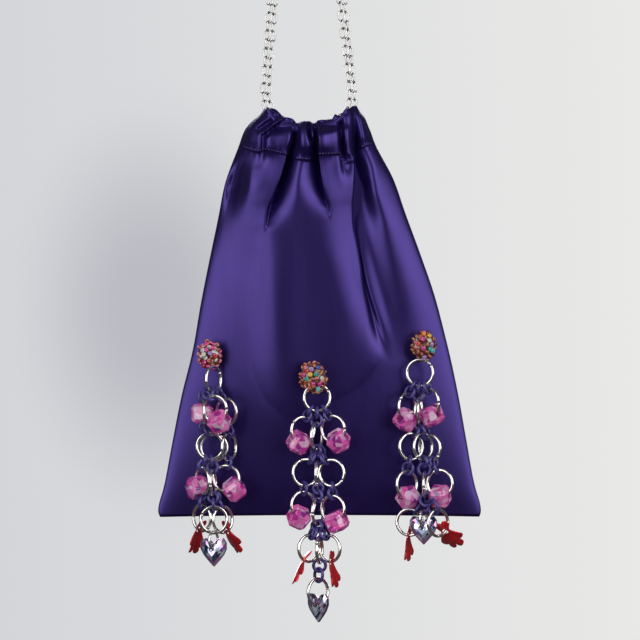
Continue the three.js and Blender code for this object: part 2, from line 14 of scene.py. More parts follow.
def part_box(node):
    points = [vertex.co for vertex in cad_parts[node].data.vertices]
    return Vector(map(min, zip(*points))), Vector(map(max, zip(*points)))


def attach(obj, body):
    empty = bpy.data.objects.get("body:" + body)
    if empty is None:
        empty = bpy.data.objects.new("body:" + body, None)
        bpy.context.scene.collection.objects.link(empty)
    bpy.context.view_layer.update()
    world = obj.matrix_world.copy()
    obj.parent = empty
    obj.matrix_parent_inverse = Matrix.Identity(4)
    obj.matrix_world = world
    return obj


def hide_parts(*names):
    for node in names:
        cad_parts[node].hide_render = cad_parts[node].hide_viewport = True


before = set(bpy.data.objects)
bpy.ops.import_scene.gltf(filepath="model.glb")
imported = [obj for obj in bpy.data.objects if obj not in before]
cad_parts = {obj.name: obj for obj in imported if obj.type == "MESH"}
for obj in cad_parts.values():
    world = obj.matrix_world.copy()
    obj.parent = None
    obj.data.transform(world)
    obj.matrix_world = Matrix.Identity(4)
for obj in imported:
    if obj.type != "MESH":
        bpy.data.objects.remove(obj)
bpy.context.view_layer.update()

# Sizes are in millimetres, and meshes are scaled to metres when they are made
MM = 0.001
UP = np.array([0.0, 0.0, 1.0])
BACKWARD = np.array([0.0, 1.0, 0.0])

# Cloth: one row for each level of the pouch, from the hem up
SECTION_COLUMNS = ("z", "rise", "half", "sway", "depth", "fullness", "tilt")
SECTIONS = [
    (-433, -1, 92.6, 0, 0, 2.5, 4.4),
    (-430, -0.8, 93.6, 0, 0.6, 2.5, 4.2),
    (-415, -0.5, 89.8, 0.2, 3.2, 2.5, 3.4),
    (-391, 0, 85.2, 0.8, 6, 2.5, 2),
    (-365, 0, 80.2, 1.6, 8.2, 2.2, 0.8),
    (-336, 0, 73.4, 2.6, 10, 2.1, 0),
    (-310, 0, 67.8, 2.1, 11.4, 2.1, 0),
    (-286, 0.5, 61.2, 1, 12.6, 2.1, 0),
    (-264, 1.5, 54.6, -0.2, 13.4, 2.2, 0),
    (-246, 4, 49, -1.2, 13.4, 2.6, 0),
    (-229, 7.5, 40, -2.2, 12.4, 3.2, 0),
    (-218, 6.5, 36.4, -2, 14, 3.2, 0),
    (-210.5, 7, 32, -0.6, 13.4, 3.2, 0),
    (-206.8, 8.4, 26.6, 0.8, 12, 3.2, 0),
]
SIDE_CURVE = 2.2
STITCH_Z = -223
RIDGE = Sizes(z=-206.8, rise=8.4, middle=8, side=1.2, curve=4)
# How fast the casing rises from the stitches and turns in to its ridge
CASING_TURN = Sizes(rise=0.9, inward=0.7)
EDGE_REACH = 0.2
SEAM_REACH = 1.75
SEAM_ROUND = 24
CLOTH = 1.1
LEAST_REACH = 0.4
LEAST_SHARE = 0.1
MOUTH = Sizes(reach=3.2, half=0.8, close=3)
FOLD_FADE = 0.07
# The points of a panel, closer together at its sides and near its stitches
GRID_EASE = Sizes(even=0.62, rows=1.5, casing_step=3)
FRONT_GRID = {"columns": 281, "rows": 200, "casing_rows": 44, "inner_rows": 60}
BACK_GRID = {"columns": 161, "rows": 150, "casing_rows": 30, "inner_rows": 50}

# Each fold has the side where its edge is sharp, if any, and runs down its stations: z, x, depth,
# and how far it reaches to the left and right. A depth below nought is a raised lip
FRONT_FOLDS = [
    ("left", [
        (-199, -7.6, 4, 1.5, 3.4), (-209, -8.4, 6.5, 1.5, 3.6), (-217, -9.2, 8, 1.4, 4.4),
        (-224, -12.2, 9.5, 1, 8), (-233, -16, 11, 0.6, 12), (-241, -18.9, 11.5, 0.6, 13),
        (-250, -22.4, 9.6, 0.7, 15), (-257, -24.2, 6, 0.8, 15), (-264, -25.6, 2.6, 0.9, 15),
        (-271, -26.8, 0, 0.9, 15)]),
    ("", [
        (-200, -1.3, 3, 0.9, 0.9), (-209, -1, 5, 0.9, 0.9), (-216, -0.2, 5.5, 0.9, 1),
        (-222, 1.6, 3, 1.2, 1.2), (-226, 2.6, 0, 1.4, 1.4)]),
    ("right", [
        (-203, 2.4, 3, 1.8, 0.9), (-210, 2.6, 5, 1.8, 1), (-217, 3, 7, 2.4, 1.1),
        (-222, 3.6, 8.5, 5, 0.8), (-228, 4.8, 9.5, 11, 0.6), (-237, 6, 10.5, 15, 0.6),
        (-245, 7, 8.6, 17, 0.7), (-252, 8, 5.4, 17, 0.8), (-258, 8.9, 2.4, 16, 0.9),
        (-265, 9.7, 0, 16, 0.9)]),
    ("", [
        (-202, 6.2, 1.5, 0.8, 0.8), (-211, 6.2, 2.4, 0.8, 0.8), (-217, 6, 0, 0.9, 0.9)]),
    ("left", [
        (-200, 26, 3, 1.6, 4), (-218, 26.2, 7, 1.5, 5), (-226, 25.4, 9, 1, 9),
        (-237, 24.6, 10.8, 0.6, 13.5), (-248, 24, 11.4, 0.6, 15), (-258, 22.9, 11.4, 0.6, 18),
        (-267, 23.3, 10.8, 0.7, 20), (-276, 24.8, 9, 0.8, 20), (-288, 27.2, 6.4, 0.9, 20),
        (-302, 29.8, 5, 1, 19), (-317, 33.6, 3.4, 1.8, 17), (-331, 37.6, 1.8, 4, 14),
        (-350, 43, 0, 7, 12)]),
    ("", [
        (-226, -43.8, 0, 4, 6), (-236, -45.4, 2.2, 4, 6.5), (-243, -46.6, 3.2, 4, 7),
        (-249, -47.6, 2, 4, 7), (-255, -48.6, 0.8, 4, 8), (-268, -50.6, 0, 4, 8)]),
    ("", [
        (-226, -32, 0, 5, 10), (-236, -33.8, -2.2, 4.6, 11), (-243, -35, -3.4, 4.4, 11),
        (-250, -36.2, -2.7, 6, 12), (-258, -37.6, -2, 9, 13), (-272, -40, -0.9, 12, 14),
        (-292, -42, 0, 14, 14)]),
    ("", [
        (-222, 30, 0, 4, 3.4), (-238, 29.6, 3.6, 4.6, 3.8), (-248, 30, 5.4, 5.4, 4.4),
        (-258, 31, 5.4, 6.6, 6), (-267, 32.4, 4.6, 7.4, 7.4), (-276, 34, 3.8, 7, 8.6),
        (-290, 36.6, 3.5, 6.6, 9.4), (-306, 40.2, 3.1, 6.4, 10), (-322, 44, 2.3, 6.4, 10),
        (-336, 46.8, 1.2, 7, 10), (-352, 49, 0, 8, 10)]),
    ("", [
        (-206, -22, 1.5, 2, 2), (-213, -26.8, 3.5, 1.5, 1.5), (-222, -27.4, 3, 1.5, 1.3),
        (-228, -28.2, 1, 2, 2), (-236, -30, 0, 3, 3)]),
    ("", [
        (-202, 16.9, 2.5, 1.2, 1.3), (-215, 17.9, 4, 1.2, 1.4), (-224, 18.4, 5.5, 1.2, 1.7),
        (-230, 18.8, 3.6, 1.4, 2.2), (-244, 20.2, 0, 2.4, 3)]),
    ("right", [
        (-222, -13.6, 0, 8, 0.6), (-229, -16, -1, 12, 0.6), (-241, -20.2, -1.6, 16, 0.6),
        (-250, -23.8, -1.6, 20, 0.7), (-257, -25.6, -1, 20, 0.7), (-265, -27, -0.4, 20, 0.7),
        (-273, -28, 0, 20, 0.7)]),
    ("", [
        (-254, -24, 0, 9, 9), (-268, -23, -1.4, 9, 11), (-284, -22.4, -2.2, 10, 14),
        (-305, -22, -2.6, 10.5, 15), (-325, -21.5, -2.7, 11, 16), (-345, -20, -2.5, 12, 16),
        (-362, -16.5, -1.9, 13, 16), (-378, -11, -1, 14, 16), (-394, -4, 0, 14, 16)]),
    ("left", [
        (-226, 5.6, 0, 0.6, 6), (-232, 6.6, -0.9, 0.6, 7), (-245, 8.6, -1.1, 0.8, 8),
        (-252, 9.4, -0.6, 0.7, 9), (-260, 10, 0, 0.7, 10)]),
    ("right", [
        (-226, 24.6, 0, 8, 0.6), (-236, 23.8, 0.5, 10, 0.6), (-244, 23.4, 1.2, 13, 0.6),
        (-251, 22.8, 1.9, 15, 0.6), (-258, 22, 2.6, 18, 0.6), (-267, 22.4, 3.3, 20, 0.7),
        (-276, 23.9, 3.8, 20, 0.8), (-288, 26.3, 4, 18, 1), (-302, 28.8, 3.8, 17, 1.2),
        (-317, 32.2, 3.2, 17, 2), (-350, 40, 0, 30, 6)]),
]
BACK_FOLDS = [
    ("left", [
        (-200, -20, 3, 1.6, 4), (-221, -24, 6.5, 1.4, 6), (-233, -27, 8.5, 0.7, 11),
        (-255, -33, 7, 0.8, 13), (-285, -39, 2.4, 2.4, 12), (-310, -42, 0, 5, 12)]),
    ("right", [
        (-200, -8, 4.5, 3.4, 1.5), (-221, -9.5, 7.5, 5, 1.3), (-233, -11, 10, 11, 0.6),
        (-258, -14.5, 8.5, 15, 0.7), (-290, -18, 3, 14, 2), (-320, -20, 0, 13, 5)]),
    ("", [
        (-200, 4, 4.5, 1.4, 1.6), (-221, 4.5, 6.5, 1.6, 1.8), (-233, 5, 8.5, 2.4, 3), (-258, 7, 6, 4, 6),
        (-312, 6, 0, 9, 9)]),
    ("", [
        (-200, 15.5, 3.5, 1.4, 1.4), (-221, 17.5, 5, 1.6, 1.6), (-233, 19, 4, 2.4, 2.4),
        (-252, 21, 0, 4, 4)]),
    ("left", [
        (-200, 22, 3, 1.5, 4), (-221, 25, 6, 1.4, 6), (-233, 28, 8.5, 0.7, 11), (-260, 33, 7.5, 0.8, 14),
        (-295, 36.5, 3, 2.4, 13), (-324, 38, 0, 5, 12)]),
]
# Crests that lean over their valleys: z, x and how far they lean to the right
FRONT_LEANS = [
    [(-222, -13, 0), (-230, -16, 1.3), (-241, -19.9, 1.7), (-250, -23.5, 1.6), (-259, -25.6, 0)],
    [(-221, 4, 0), (-229, 5.9, -1.3), (-240, 7.4, -1.6), (-249, 8.3, -1.2), (-257, 8.6, 0)],
    [(-224, 24.8, 0), (-231, 24.2, 1.3), (-246, 23.1, 1.7), (-260, 22, 1.7), (-276, 23.8, 1.7),
     (-290, 26.4, 1.3), (-308, 30, 0)],
]
BACK_LEANS = [
    [(-224, -26, 0), (-233, -28.2, 1.4), (-255, -34.4, 1.2), (-272, -38, 0)],
    [(-224, -9, 0), (-233, -9.8, -1.4), (-258, -13.2, -1.2), (-276, -15, 0)],
    [(-224, 24.8, 0), (-233, 26.8, 1.4), (-260, 31.6, 1.2), (-278, 34, 0)],
]
LEAN_REACH = Sizes(crest=2, valley=0.5)
# Dents and short pleats in the casing: both ends, depth and reach
FRONT_CREASES = [
    (-20.5, -210.4, -11.8, -208.4, 5, 3),
    (7.6, -208.8, 16.4, -208.6, 5, 2.9),
    (-27.5, -213.4, -15, -205, -2.6, 1),
    (-29.6, -211.2, -19, -203.6, 3, 1.2),
    (-25.4, -215, -21, -210.6, 2.6, 1.2),
    (-25, -217, -25, -221, -3.5, 8),
    (6.4, -217, 6.4, -222, -3.5, 7.5),
    (-3.8, -212, -3.8, -222, -1.5, 2.8),
    (21.4, -213, 21.4, -226, -1.3, 2.3),
    (30, -205, 31.4, -216, -1.5, 3.4),
    (-33.6, -207, -35, -217, -1.3, 3.4),
]
BACK_CREASES = [(-17, -209.5, -11, -209, 3, 2.2), (8.5, -209.5, 13, -209, 3, 2.2)]
HEM_STEP = Sizes(high=0.7, below=0.9, soft=0.4)
PUCKER = Sizes(deep=0.07, every=3.1, reach=3.5)

FRONT_TOP = [(-29.9, -200.6), (-25.2, -198.4), (-20, -199.4), (-14.9, -203.9), (-10, -205.4),
             (-7.2, -208.1), (-3.4, -206.9), (0.1, -207.1), (2.4, -208.3), (4.7, -206.7), (7.6, -206.4),
             (12.3, -206.7), (14.7, -203.3), (17, -204.6), (20.6, -200.7), (23.5, -199.3), (26.4, -198.5),
             (29.8, -200.3)]
BACK_TOP = [(-29.9, -200.6), (-25.4, -198.6), (-21, -200.6), (-17, -203.4), (-13, -204.2), (-8.2, -207),
            (-4, -206), (0, -206.4), (4.2, -207.6), (8, -205.6), (12, -205.2), (15.8, -205), (19, -202.2),
            (22.4, -201.2), (26.4, -198.7), (29.8, -200.3)]
FRONT_STITCH = [(-39.1, -220.1), (-37.4, -221.3), (-29.3, -223.8), (-26.4, -222.7), (-13.7, -225.9),
                (-8, -228.4), (-1, -229.1), (5.4, -226.4), (17, -226.1), (18.6, -231.6), (23.9, -230),
                (25.6, -224), (35.7, -220.2)]
BACK_STITCH = [(-39.1, -220.1), (-30, -223.2), (-22, -225), (-8, -227), (4, -227.6), (16, -226.6),
               (24, -225.2), (35.7, -220.2)]
FACES = {
    -1: Sizes(folds=FRONT_FOLDS, leans=FRONT_LEANS, creases=FRONT_CREASES, top=np.array(FRONT_TOP),
              stitch=np.array(FRONT_STITCH)),
    1: Sizes(folds=BACK_FOLDS, leans=BACK_LEANS, creases=BACK_CREASES, top=np.array(BACK_TOP),
             stitch=np.array(BACK_STITCH)),
}
STITCH = Sizes(every=1.7, half=0.45, thick=0.27, sides=6, proud=0.15, hidden=3)
# The stretch of cloth along the stitches, as shares of the panel
STITCH_BAND = Sizes(half=0.98, columns=500, low=0.93, low_rows=60, casing=0.4, casing_rows=30)

# Handle: right half of a loop's way through the casing, from the middle outwards
CASING_RUN = [(0, 8, -212.2), (8, 7.8, -211.3), (15, 7, -208.6), (20.3, 6, -204.6),
              (23.8, 5.2, -199), (25.2, 4.8, -191)]
CHAIN_SHIFT = 1.3
CHAIN_RADIUS = 2.3
COVER = 1.3
COVER_HALF = 23.6
BEND = Sizes(radius=8, start=4, steps=10, y=3.2)
LINK = Sizes(length=7.1, width=4.4, wire=0.45, pitch=5.1, points=18, sides=7, drift=24, drift_step=0.31)

# Drops
RING = {"radius": 7.55, "wire": 0.95}
BAIL = {"radius": 5, "wire": 0.75}
RING_POINTS = 56
RING_SIDES = 10
# Half the gap between a ring's ends, and its angle on the first ring and from ring to ring, in radians
RING_CUT = Sizes(half=0.16, first=0.6, step=1.9)
PURPLE = Sizes(wire=0.95, single=5, points=40, sides=10, apart=50, tries=3)
# Faces within the level angle are one face, and edges over the sharp angle are eased, in radians
BEAD = Sizes(half=5.7, flat=3.6, out=7.6, hole=1.5, ease=0.2, level=0.02, sharp=0.2)
HEART = Sizes(width=17, height=16.6, crown=2.6, girdle=0.8, hole_z=1.9, hole=1.8, lift=0.2, sides=18)
# Rows of facet corners from the girdle in: shift round the outline, size, and climb to the crown
HEART_ROWS = [(0, 1, 0), (0.5, 0.82, 0.6), (0, 0.58, 0.9), (0.5, 0.3, 1)]
HEART_CURVE = Sizes(waves=(13, -5, -2, -1), middle=2.5, span=29, power=2)
DRILL_SIDES = 20
QUARTER_TURN = Matrix.Rotation(pi / 2, 4, "X")
FLOWER = Sizes(half=2.3, thick=0.4, hole=1.75, spoon=0.35, around=240, rings=8)
# Petals round a flower's hole: angle from outward, reach, and how far the tip lifts
PETALS = [(-36, 10.6, 2.6), (-12, 14.6, 1.6), (11, 15.4, 2.4), (32, 13.4, 3), (150, 6.6, 0.9),
          (205, 7, 1.2)]

DROPS = {
    "left": {
        "cluster": (-61.2, -340.8, 7.2, 9), "first": (-59.1, -15.438, -354.8), "yaw": 58,
        "rings": [
            ("b1", "a", -6.2, -18.5, 4, -84), ("b2", "a", 7, -18.9, -2, -40),
            ("b3", "a", 0.9, -16.8, 8.2, -30), ("c1", "b1", -2.9, -38.2, 4, 5),
            ("c2", "b1", -0.6, -39.1, 1.6, 5), ("c3", "b2", 7.9, -39.1, -1, 60),
            ("d1", "c1", -7.7, -57.8, 5, -58), ("d2", "c1", -1.6, -59.2, 4, 80),
            ("d3", "c3", 5.9, -57.3, -1, -10), ("e1", "d1", -8.6, -79.4, 0, -47),
            ("e2", "d2", -1.6, -80.4, 5.5, 0), ("e3", "d2", 3.3, -80.7, 0, 46),
            ("bail", "e2", -2.1, -92.2, 5.5, 62),
        ],
        "unlinked": "bail",
        "beads": [("b3", -73, 45), ("b1", 190, 20), ("d1", 212, 15), ("d3", -54, 32)],
        "flowers": [("e1", 240, -14, 0.6), ("e3", 293, 15, 1)], "heart": "bail",
    },
    "middle": {
        "cluster": (-1.8, -355, 8.3, 10), "first": (0.2, -18.346, -366.7), "yaw": 8,
        "rings": [
            ("b1", "a", -8.6, -18.4, 0, 30), ("b2", "a", -0.8, -22, 0, 66),
            ("b3", "a", 8.8, -18.2, 0, -30), ("c1", "b2", -7.8, -42.8, 0, 20),
            ("c2", "b2", -0.6, -43.8, 0, 80), ("c3", "b2", 7.4, -43.4, 0, -20),
            ("d1", "c1", -9.6, -61.3, 0, 30), ("d2", "c2", -1.2, -65.3, 0, 66),
            ("d3", "c3", 7.5, -64, 0, -30), ("e1", "d2", -6.8, -86.4, 0, 40),
            ("e2", "d2", -0.8, -87.3, 0, 78), ("e3", "d2", 5.2, -86.8, 0, -40),
            ("f", "e2", -2.2, -111.4, 0, 42),
        ],
        "beads": [("b1", 246, 25), ("b3", -64, 40), ("d1", 246, 38), ("d3", -72, 15)],
        "flowers": [("e1", 232, 26, 0.7), ("e3", 270, -21, 1)], "heart": "f",
    },
    "right": {
        "cluster": (62.4, -338.6, 7.5, 9.5), "first": (59.8, -15.163, -353.9), "yaw": -10,
        "rings": [
            ("b1", "a", -7.9, -19.3, 0.3, 50), ("b2", "a", -1.2, -21.7, 0, 85),
            ("b3", "a", 5.3, -17.2, 0, -50), ("c1", "b2", -6.2, -42.3, 0, 28),
            ("c2", "b2", 0.7, -42.5, 0, 45), ("c3", "b2", 4.6, -43.5, -3, -38),
            ("d1", "c1", -9.2, -63.9, 0, 40), ("d2", "c2", 1.2, -64.8, 0, 82),
            ("d3", "c3", 9.9, -63.8, 0, -20), ("e1", "d2", -8, -86, -3.6, -15),
            ("bail", "d2", -0.3, -83.7, 3, 66), ("e3", "d2", 8, -86.2, 7, 40),
        ],
        "beads": [("b1", 256, 35), ("b3", -78, 18), ("d1", 275, 45), ("d3", -92, 28)],
        "flowers": [("e1", 258, 3, 0), ("e3", 315, -24, 0.2)], "heart": "bail",
    },
}

# Seed beads: the tints of each knot, and the beads that stand out in it by place
TINTS = {
    "copper": (0.46, 0.13, 0.06), "amber": (0.60, 0.22, 0.07), "rose": (0.74, 0.20, 0.20),
    "brown": (0.16, 0.03, 0.02), "pink": (0.86, 0.07, 0.36), "magenta": (0.70, 0.03, 0.32),
    "red": (0.70, 0.03, 0.04), "orange": (0.95, 0.20, 0.02), "yellow": (0.90, 0.55, 0.03),
    "teal": (0.02, 0.46, 0.36), "aqua": (0.15, 0.62, 0.60), "blue": (0.02, 0.13, 0.62),
    "lilac": (0.48, 0.30, 0.72), "pearl": (0.80, 0.76, 0.70),
}
SEED = Sizes(around=0.80, body=0.74, points=12, sides=8, askew=(0.3, 0.9, 0.2))
# Knots: a dark core, and how the beads lie on the dome over it
KNOT = Sizes(dome=4.6, forward=0.12, rows=7, around=24, core=0.92, sunk=0.5, tries=1500, apart=2,
             outward=0.4, nod=0.4, sizes=(0.85, 1.05), accent_in=0.86, accent_proud=0.4, accent_lean=0.7)
KNOTS = {
    "left": {
        "base": ("copper", "rose", "pink", "red", "rose", "pearl"), "seed": 11,
        "accents": [(-1.6, 7.4, "pink"), (2.6, 4.6, "pink"), (-1.8, 3.6, "magenta"), (-4.2, 3.4, "pearl"),
                    (-3.6, 0.6, "pearl"), (3.8, -0.6, "red"), (-3.4, -4.6, "magenta"), (-0.8, -7.4, "pink"),
                    (0.6, 1.2, "lilac"), (2, -6.8, "copper")],
    },
    "middle": {
        "base": ("copper", "amber", "brown", "copper", "rose"), "seed": 23,
        "accents": [(3.6, 6.4, "blue"), (-0.8, 5.4, "lilac"), (-1.8, 2, "yellow"), (2, 2, "teal"),
                    (-4, -1, "teal"), (-4, 4.2, "red"), (-0.2, -4.2, "pink"), (4.2, -4.6, "magenta"),
                    (3.2, -7.6, "aqua"), (-6.4, 1.6, "pink"), (5.8, -0.6, "pearl"), (-4.6, 6.6, "rose")],
    },
    "right": {
        "base": ("copper", "rose", "brown", "amber", "copper"), "seed": 37,
        "accents": [(0.2, 8.2, "orange"), (3.8, 6.8, "yellow"), (-0.6, 4.6, "magenta"), (-3.6, 1.6, "red"),
                    (-0.2, -1.6, "pink"), (4, -2, "teal"), (5.6, -3.2, "aqua"), (0.2, -7.4, "lilac"),
                    (3.6, 3.6, "pearl"), (5.2, 1, "lilac"), (-4, -3.6, "copper")],
    },
}

# Camera, and the stage and its lights in metres
CAMERA = Sizes(roll=1.42, centre=(3, -322.1), across=371.2, away=2000, sensor=36, clip=50000)
FLOOR = Sizes(z=-1.2, reach=6, sides=64)
# A painted shadow of the bag on the back wall: its middle, its width and height, how far in it is darkest,
# and its darkest tint
PAINTED_SHADOW = Sizes(x=-0.25, z=-0.30, wide=0.25, high=0.38, core=0.85, dim=(0.72, 0.72, 0.76))
# The wall round the stage, darker at the left and lighter at the right as a painted falloff of the studio
# light
WALL = Sizes(reach=3.4, back=(30, 150), front=(150, 390), steps=48, high=2.6, span=0.5,
             left=(0.655, 0.665, 0.695), right=(0.815, 0.815, 0.800))
LIGHTS = [
    ("right_softbox", (1.25, -1.35, 0.20), (1.3, 1.8), 25.0),
    ("left_softbox", (-1.22, -1.40, 0.15), (1.3, 1.8), 22.0),
    ("top_softbox", (0.0, -0.9, 1.15), (1.2, 0.8), 1.0),
    ("right_back_softbox", (0.42, 1.90, 0.25), (0.7, 1.6), 12.0),
    ("left_back_softbox", (-0.42, 1.90, 0.25), (0.7, 1.6), 12.0),
]
AIM = (0.0, 0.0, -0.33)
ROOM = Sizes(colour=(0.30, 0.30, 0.32, 1.0), strength=0.25)


def curve(places, values, at):
    """A smooth curve through the values that never overshoots them."""
    places = np.asarray(places, float)
    values = np.asarray(values, float)
    at = np.clip(at, places[0], places[-1])
    step = np.diff(places)
    slope = np.diff(values) / step
    lean = np.zeros(len(values))
    lean[0] = slope[0]
    lean[-1] = slope[-1]
    for i in range(1, len(slope)):
        if slope[i - 1] * slope[i] > 0:
            lean[i] = 2 * slope[i - 1] * slope[i] / (slope[i - 1] + slope[i])
    i = np.clip(np.searchsorted(places, at) - 1, 0, len(step) - 1)
    t = (at - places[i]) / step[i]
    return (values[i] * (1 + 2 * t) * (1 - t) ** 2 + values[i + 1] * t * t * (3 - 2 * t)
            + step[i] * (lean[i] * t * (1 - t) ** 2 - lean[i + 1] * t * t * (1 - t)))


def section(column, z):
    """One column of the cloth's table at any height."""
    k = SECTION_COLUMNS.index(column)
    return curve([r[0] for r in SECTIONS], [r[k] for r in SECTIONS], z)


def eased(rows, column, z):
    """A column of a fold's stations at any height, level at both ends."""
    places = np.concatenate([[rows[0, 0] - 1], rows[:, 0], [rows[-1, 0] + 1]])
    return curve(places, np.pad(rows[:, column], 1, mode="edge"), z)


def fold_depth(folds, x, z):
    """How far the folds press the cloth in at each place."""
    total = np.zeros_like(x)
    for sharp, stations in folds:
        rows = np.array(sorted(stations))
        centre, left, right = (curve(rows[:, 0], rows[:, k], z) for k in (1, 3, 4))
        deep = np.where(z < rows[0, 0], 0.0, eased(rows, 2, z))
        deep = np.where((z > rows[-1, 0]) & (rows[-1, 2] == 0), 0.0, deep)
        away = x - centre
        soft = {"left": away > 0, "right": away < 0, "": False}[sharp]
        far = np.abs(away / np.where(away < 0, left, right))
        total += deep * np.where(soft, np.maximum(1 - far, 0) ** 2, np.exp(-far ** 2))
    return total


def crest_lean(leans, x, z):
    """How far the crests of the folds lean sideways over their valleys."""
    total = np.zeros_like(x)
    for stations in leans:
        rows = np.array(sorted(stations))
        lean = np.where((z < rows[0, 0]) | (z > rows[-1, 0]), 0.0, eased(rows, 2, z))
        away = (x - curve(rows[:, 0], rows[:, 1], z)) * np.sign(lean)
        total += lean * np.exp(-(away / np.where(away < 0, LEAN_REACH.crest, LEAN_REACH.valley)) ** 2)
    return total


def crease_depth(creases, x, z):
    """Short dents and pleats, each along its own line."""
    total = np.zeros_like(x)
    for x0, z0, x1, z1, deep, wide in creases:
        run = np.array([x1 - x0, z1 - z0])
        t = np.clip(((x - x0) * run[0] + (z - z0) * run[1]) / (run @ run), 0, 1)
        away = np.hypot(x - x0 - t * run[0], z - z0 - t * run[1])
        total += deep * np.exp(-(away / wide) ** 2)
    return total


def new_mesh(name, points, faces, smooth=False):
    mesh = bpy.data.meshes.new(name)
    mesh.from_pydata(points, [], faces)
    mesh.polygons.foreach_set("use_smooth", [smooth] * len(mesh.polygons))
    mesh.update()
    return mesh


def new_object(name, data):
    obj = bpy.data.objects.new(name, data)
    bpy.context.scene.collection.objects.link(obj)
    return obj


class Shapes:
    """Gathers many small shapes into one mesh."""

    def __init__(self):
        self.points = []
        self.faces = []
        self.tints = []
        self.count = 0

    def add(self, points, faces, tint=(1.0, 1.0, 1.0)):
        self.points.append(np.asarray(points, float))
        self.faces += [tuple(i + self.count for i in face) for face in faces]
        self.tints += [(*tint, 1.0)] * len(points)
        self.count += len(points)

    def piece(self, name, material, slot, replaced=None, smooth=True, tinted=False):
        mesh = new_mesh(name, (np.concatenate(self.points) * MM).tolist(), self.faces, smooth)
        if tinted:
            layer = mesh.color_attributes.new("tint", "FLOAT_COLOR", "POINT")
            layer.data.foreach_set("color", np.array(self.tints, np.float32).ravel())
        mesh.materials.append(material)
        obj = new_object(name, mesh)
        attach(obj, "root")
        if replaced:
            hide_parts(replaced)
        return obj


def unit(v):
    return v / np.linalg.norm(v)


def turns(count, shift=0):
    """Angles evenly round a circle."""
    return [2 * pi * (i + shift) / count for i in range(count)]


def between(a, b, turn):
    """The way from a towards b by an angle, where the two are square to each other."""
    return a * cos(turn) + b * sin(turn)


def run_length(points):
    """How far along a line each of its points is."""
    return np.concatenate([[0], np.cumsum(np.linalg.norm(np.diff(points, axis=0), axis=1))])


def grid_faces(rows, columns, wrap_rows=False, wrap_columns=True):
    """Faces between neighbours in rows of points."""
    faces = []
    for i in range(rows if wrap_rows else rows - 1):
        k = (i + 1) % rows
        for j in range(columns if wrap_columns else columns - 1):
            m = (j + 1) % columns
            faces.append((i * columns + j, i * columns + m, k * columns + m, k * columns + j))
    return faces


def band_faces(count, low, high):
    """A closed band of faces between two rounds of points, from the places of their first points."""
    return [(low + (n + 1) % count, low + n, high + n, high + (n + 1) % count) for n in range(count)]


def tube(path, wire, sides, closed, side):
    """A round wire along a path. The sideways direction starts each of its rounds."""
    path = np.asarray(path, float)
    count = len(path)
    if closed:
        ahead = np.roll(path, -1, 0) - np.roll(path, 1, 0)
    else:
        ahead = np.gradient(path, axis=0)
    points = []
    for p, t in zip(path, ahead):
        t = unit(t)
        out = unit(np.cross(t, side))
        across = np.cross(t, out)
        points += [p + wire * between(out, across, a) for a in turns(sides)]
    faces = grid_faces(count, sides, closed)
    if not closed:
        faces += [tuple(range(sides))[::-1], tuple(range((count - 1) * sides, count * sides))]
    return points, faces


def hoop(centre, a, b, radius, wire, points, sides, cut=None):
    """A ring in the plane of a and b. A cut at an angle leaves its two ends just apart."""
    if cut is None:
        places = turns(points)
    else:
        gap = RING_CUT.half / radius
        places = [cut + gap + 2 * (pi - gap) * i / points for i in range(points + 1)]
    path = [centre + radius * between(a, b, t) for t in places]
    return tube(path, wire, sides, cut is None, np.cross(a, b))


# Materials


class Look:
    """A material whose nodes all lead to one shader."""

    def __init__(self, name, **inputs):
        self.material = bpy.data.materials.new(name)
        self.material.use_nodes = True
        self.tree = self.material.node_tree
        self.bsdf = self.tree.nodes["Principled BSDF"]
        self.fill(self.bsdf, inputs)

    def join(self, value, socket):
        """Links what another node gives, or sets a plain value."""
        if isinstance(value, bpy.types.NodeSocket):
            self.tree.links.new(value, socket)
        else:
            socket.default_value = value

    def fill(self, node, inputs):
        for key, value in inputs.items():
            self.join(value, node.inputs[key.replace("_", " ")])

    def node(self, kind, settings=(), **inputs):
        """The outputs of a new node."""
        node = self.tree.nodes.new("ShaderNode" + kind)
        for key, value in settings:
            setattr(node, key, value)
        self.fill(node, inputs)
        return node.outputs

    def place(self, stretch=(1, 1, 1)):
        """Object coordinates, stretched."""
        return self.node("Mapping", Vector=self.node("TexCoord")["Object"], Scale=stretch)["Vector"]

    def noise(self, scale, detail=2.0, stretch=(1, 1, 1)):
        return self.node("TexNoise", Vector=self.place(stretch), Scale=scale, Detail=detail)["Fac"]

    def ramp(self, factor, stops, blend="LINEAR"):
        node = self.tree.nodes.new("ShaderNodeValToRGB")
        band = node.color_ramp
        band.interpolation = blend
        while len(band.elements) < len(stops):
            band.elements.new(0.5)
        for element, (place, colour) in zip(band.elements, stops):
            element.position = place
            element.color = (*colour, 1.0)
        self.fill(node, {"Fac": factor})
        return node.outputs["Color"]

    def spread(self, factor, low, high):
        return self.node("MapRange", Value=factor, To_Min=low, To_Max=high)["Result"]

    def bump(self, height, strength, distance):
        relief = self.node("Bump", Height=height, Strength=strength, Distance=distance)
        self.fill(self.bsdf, {"Normal": relief["Normal"]})

    def finish(self, **inputs):
        self.fill(self.bsdf, inputs)
        return self.material


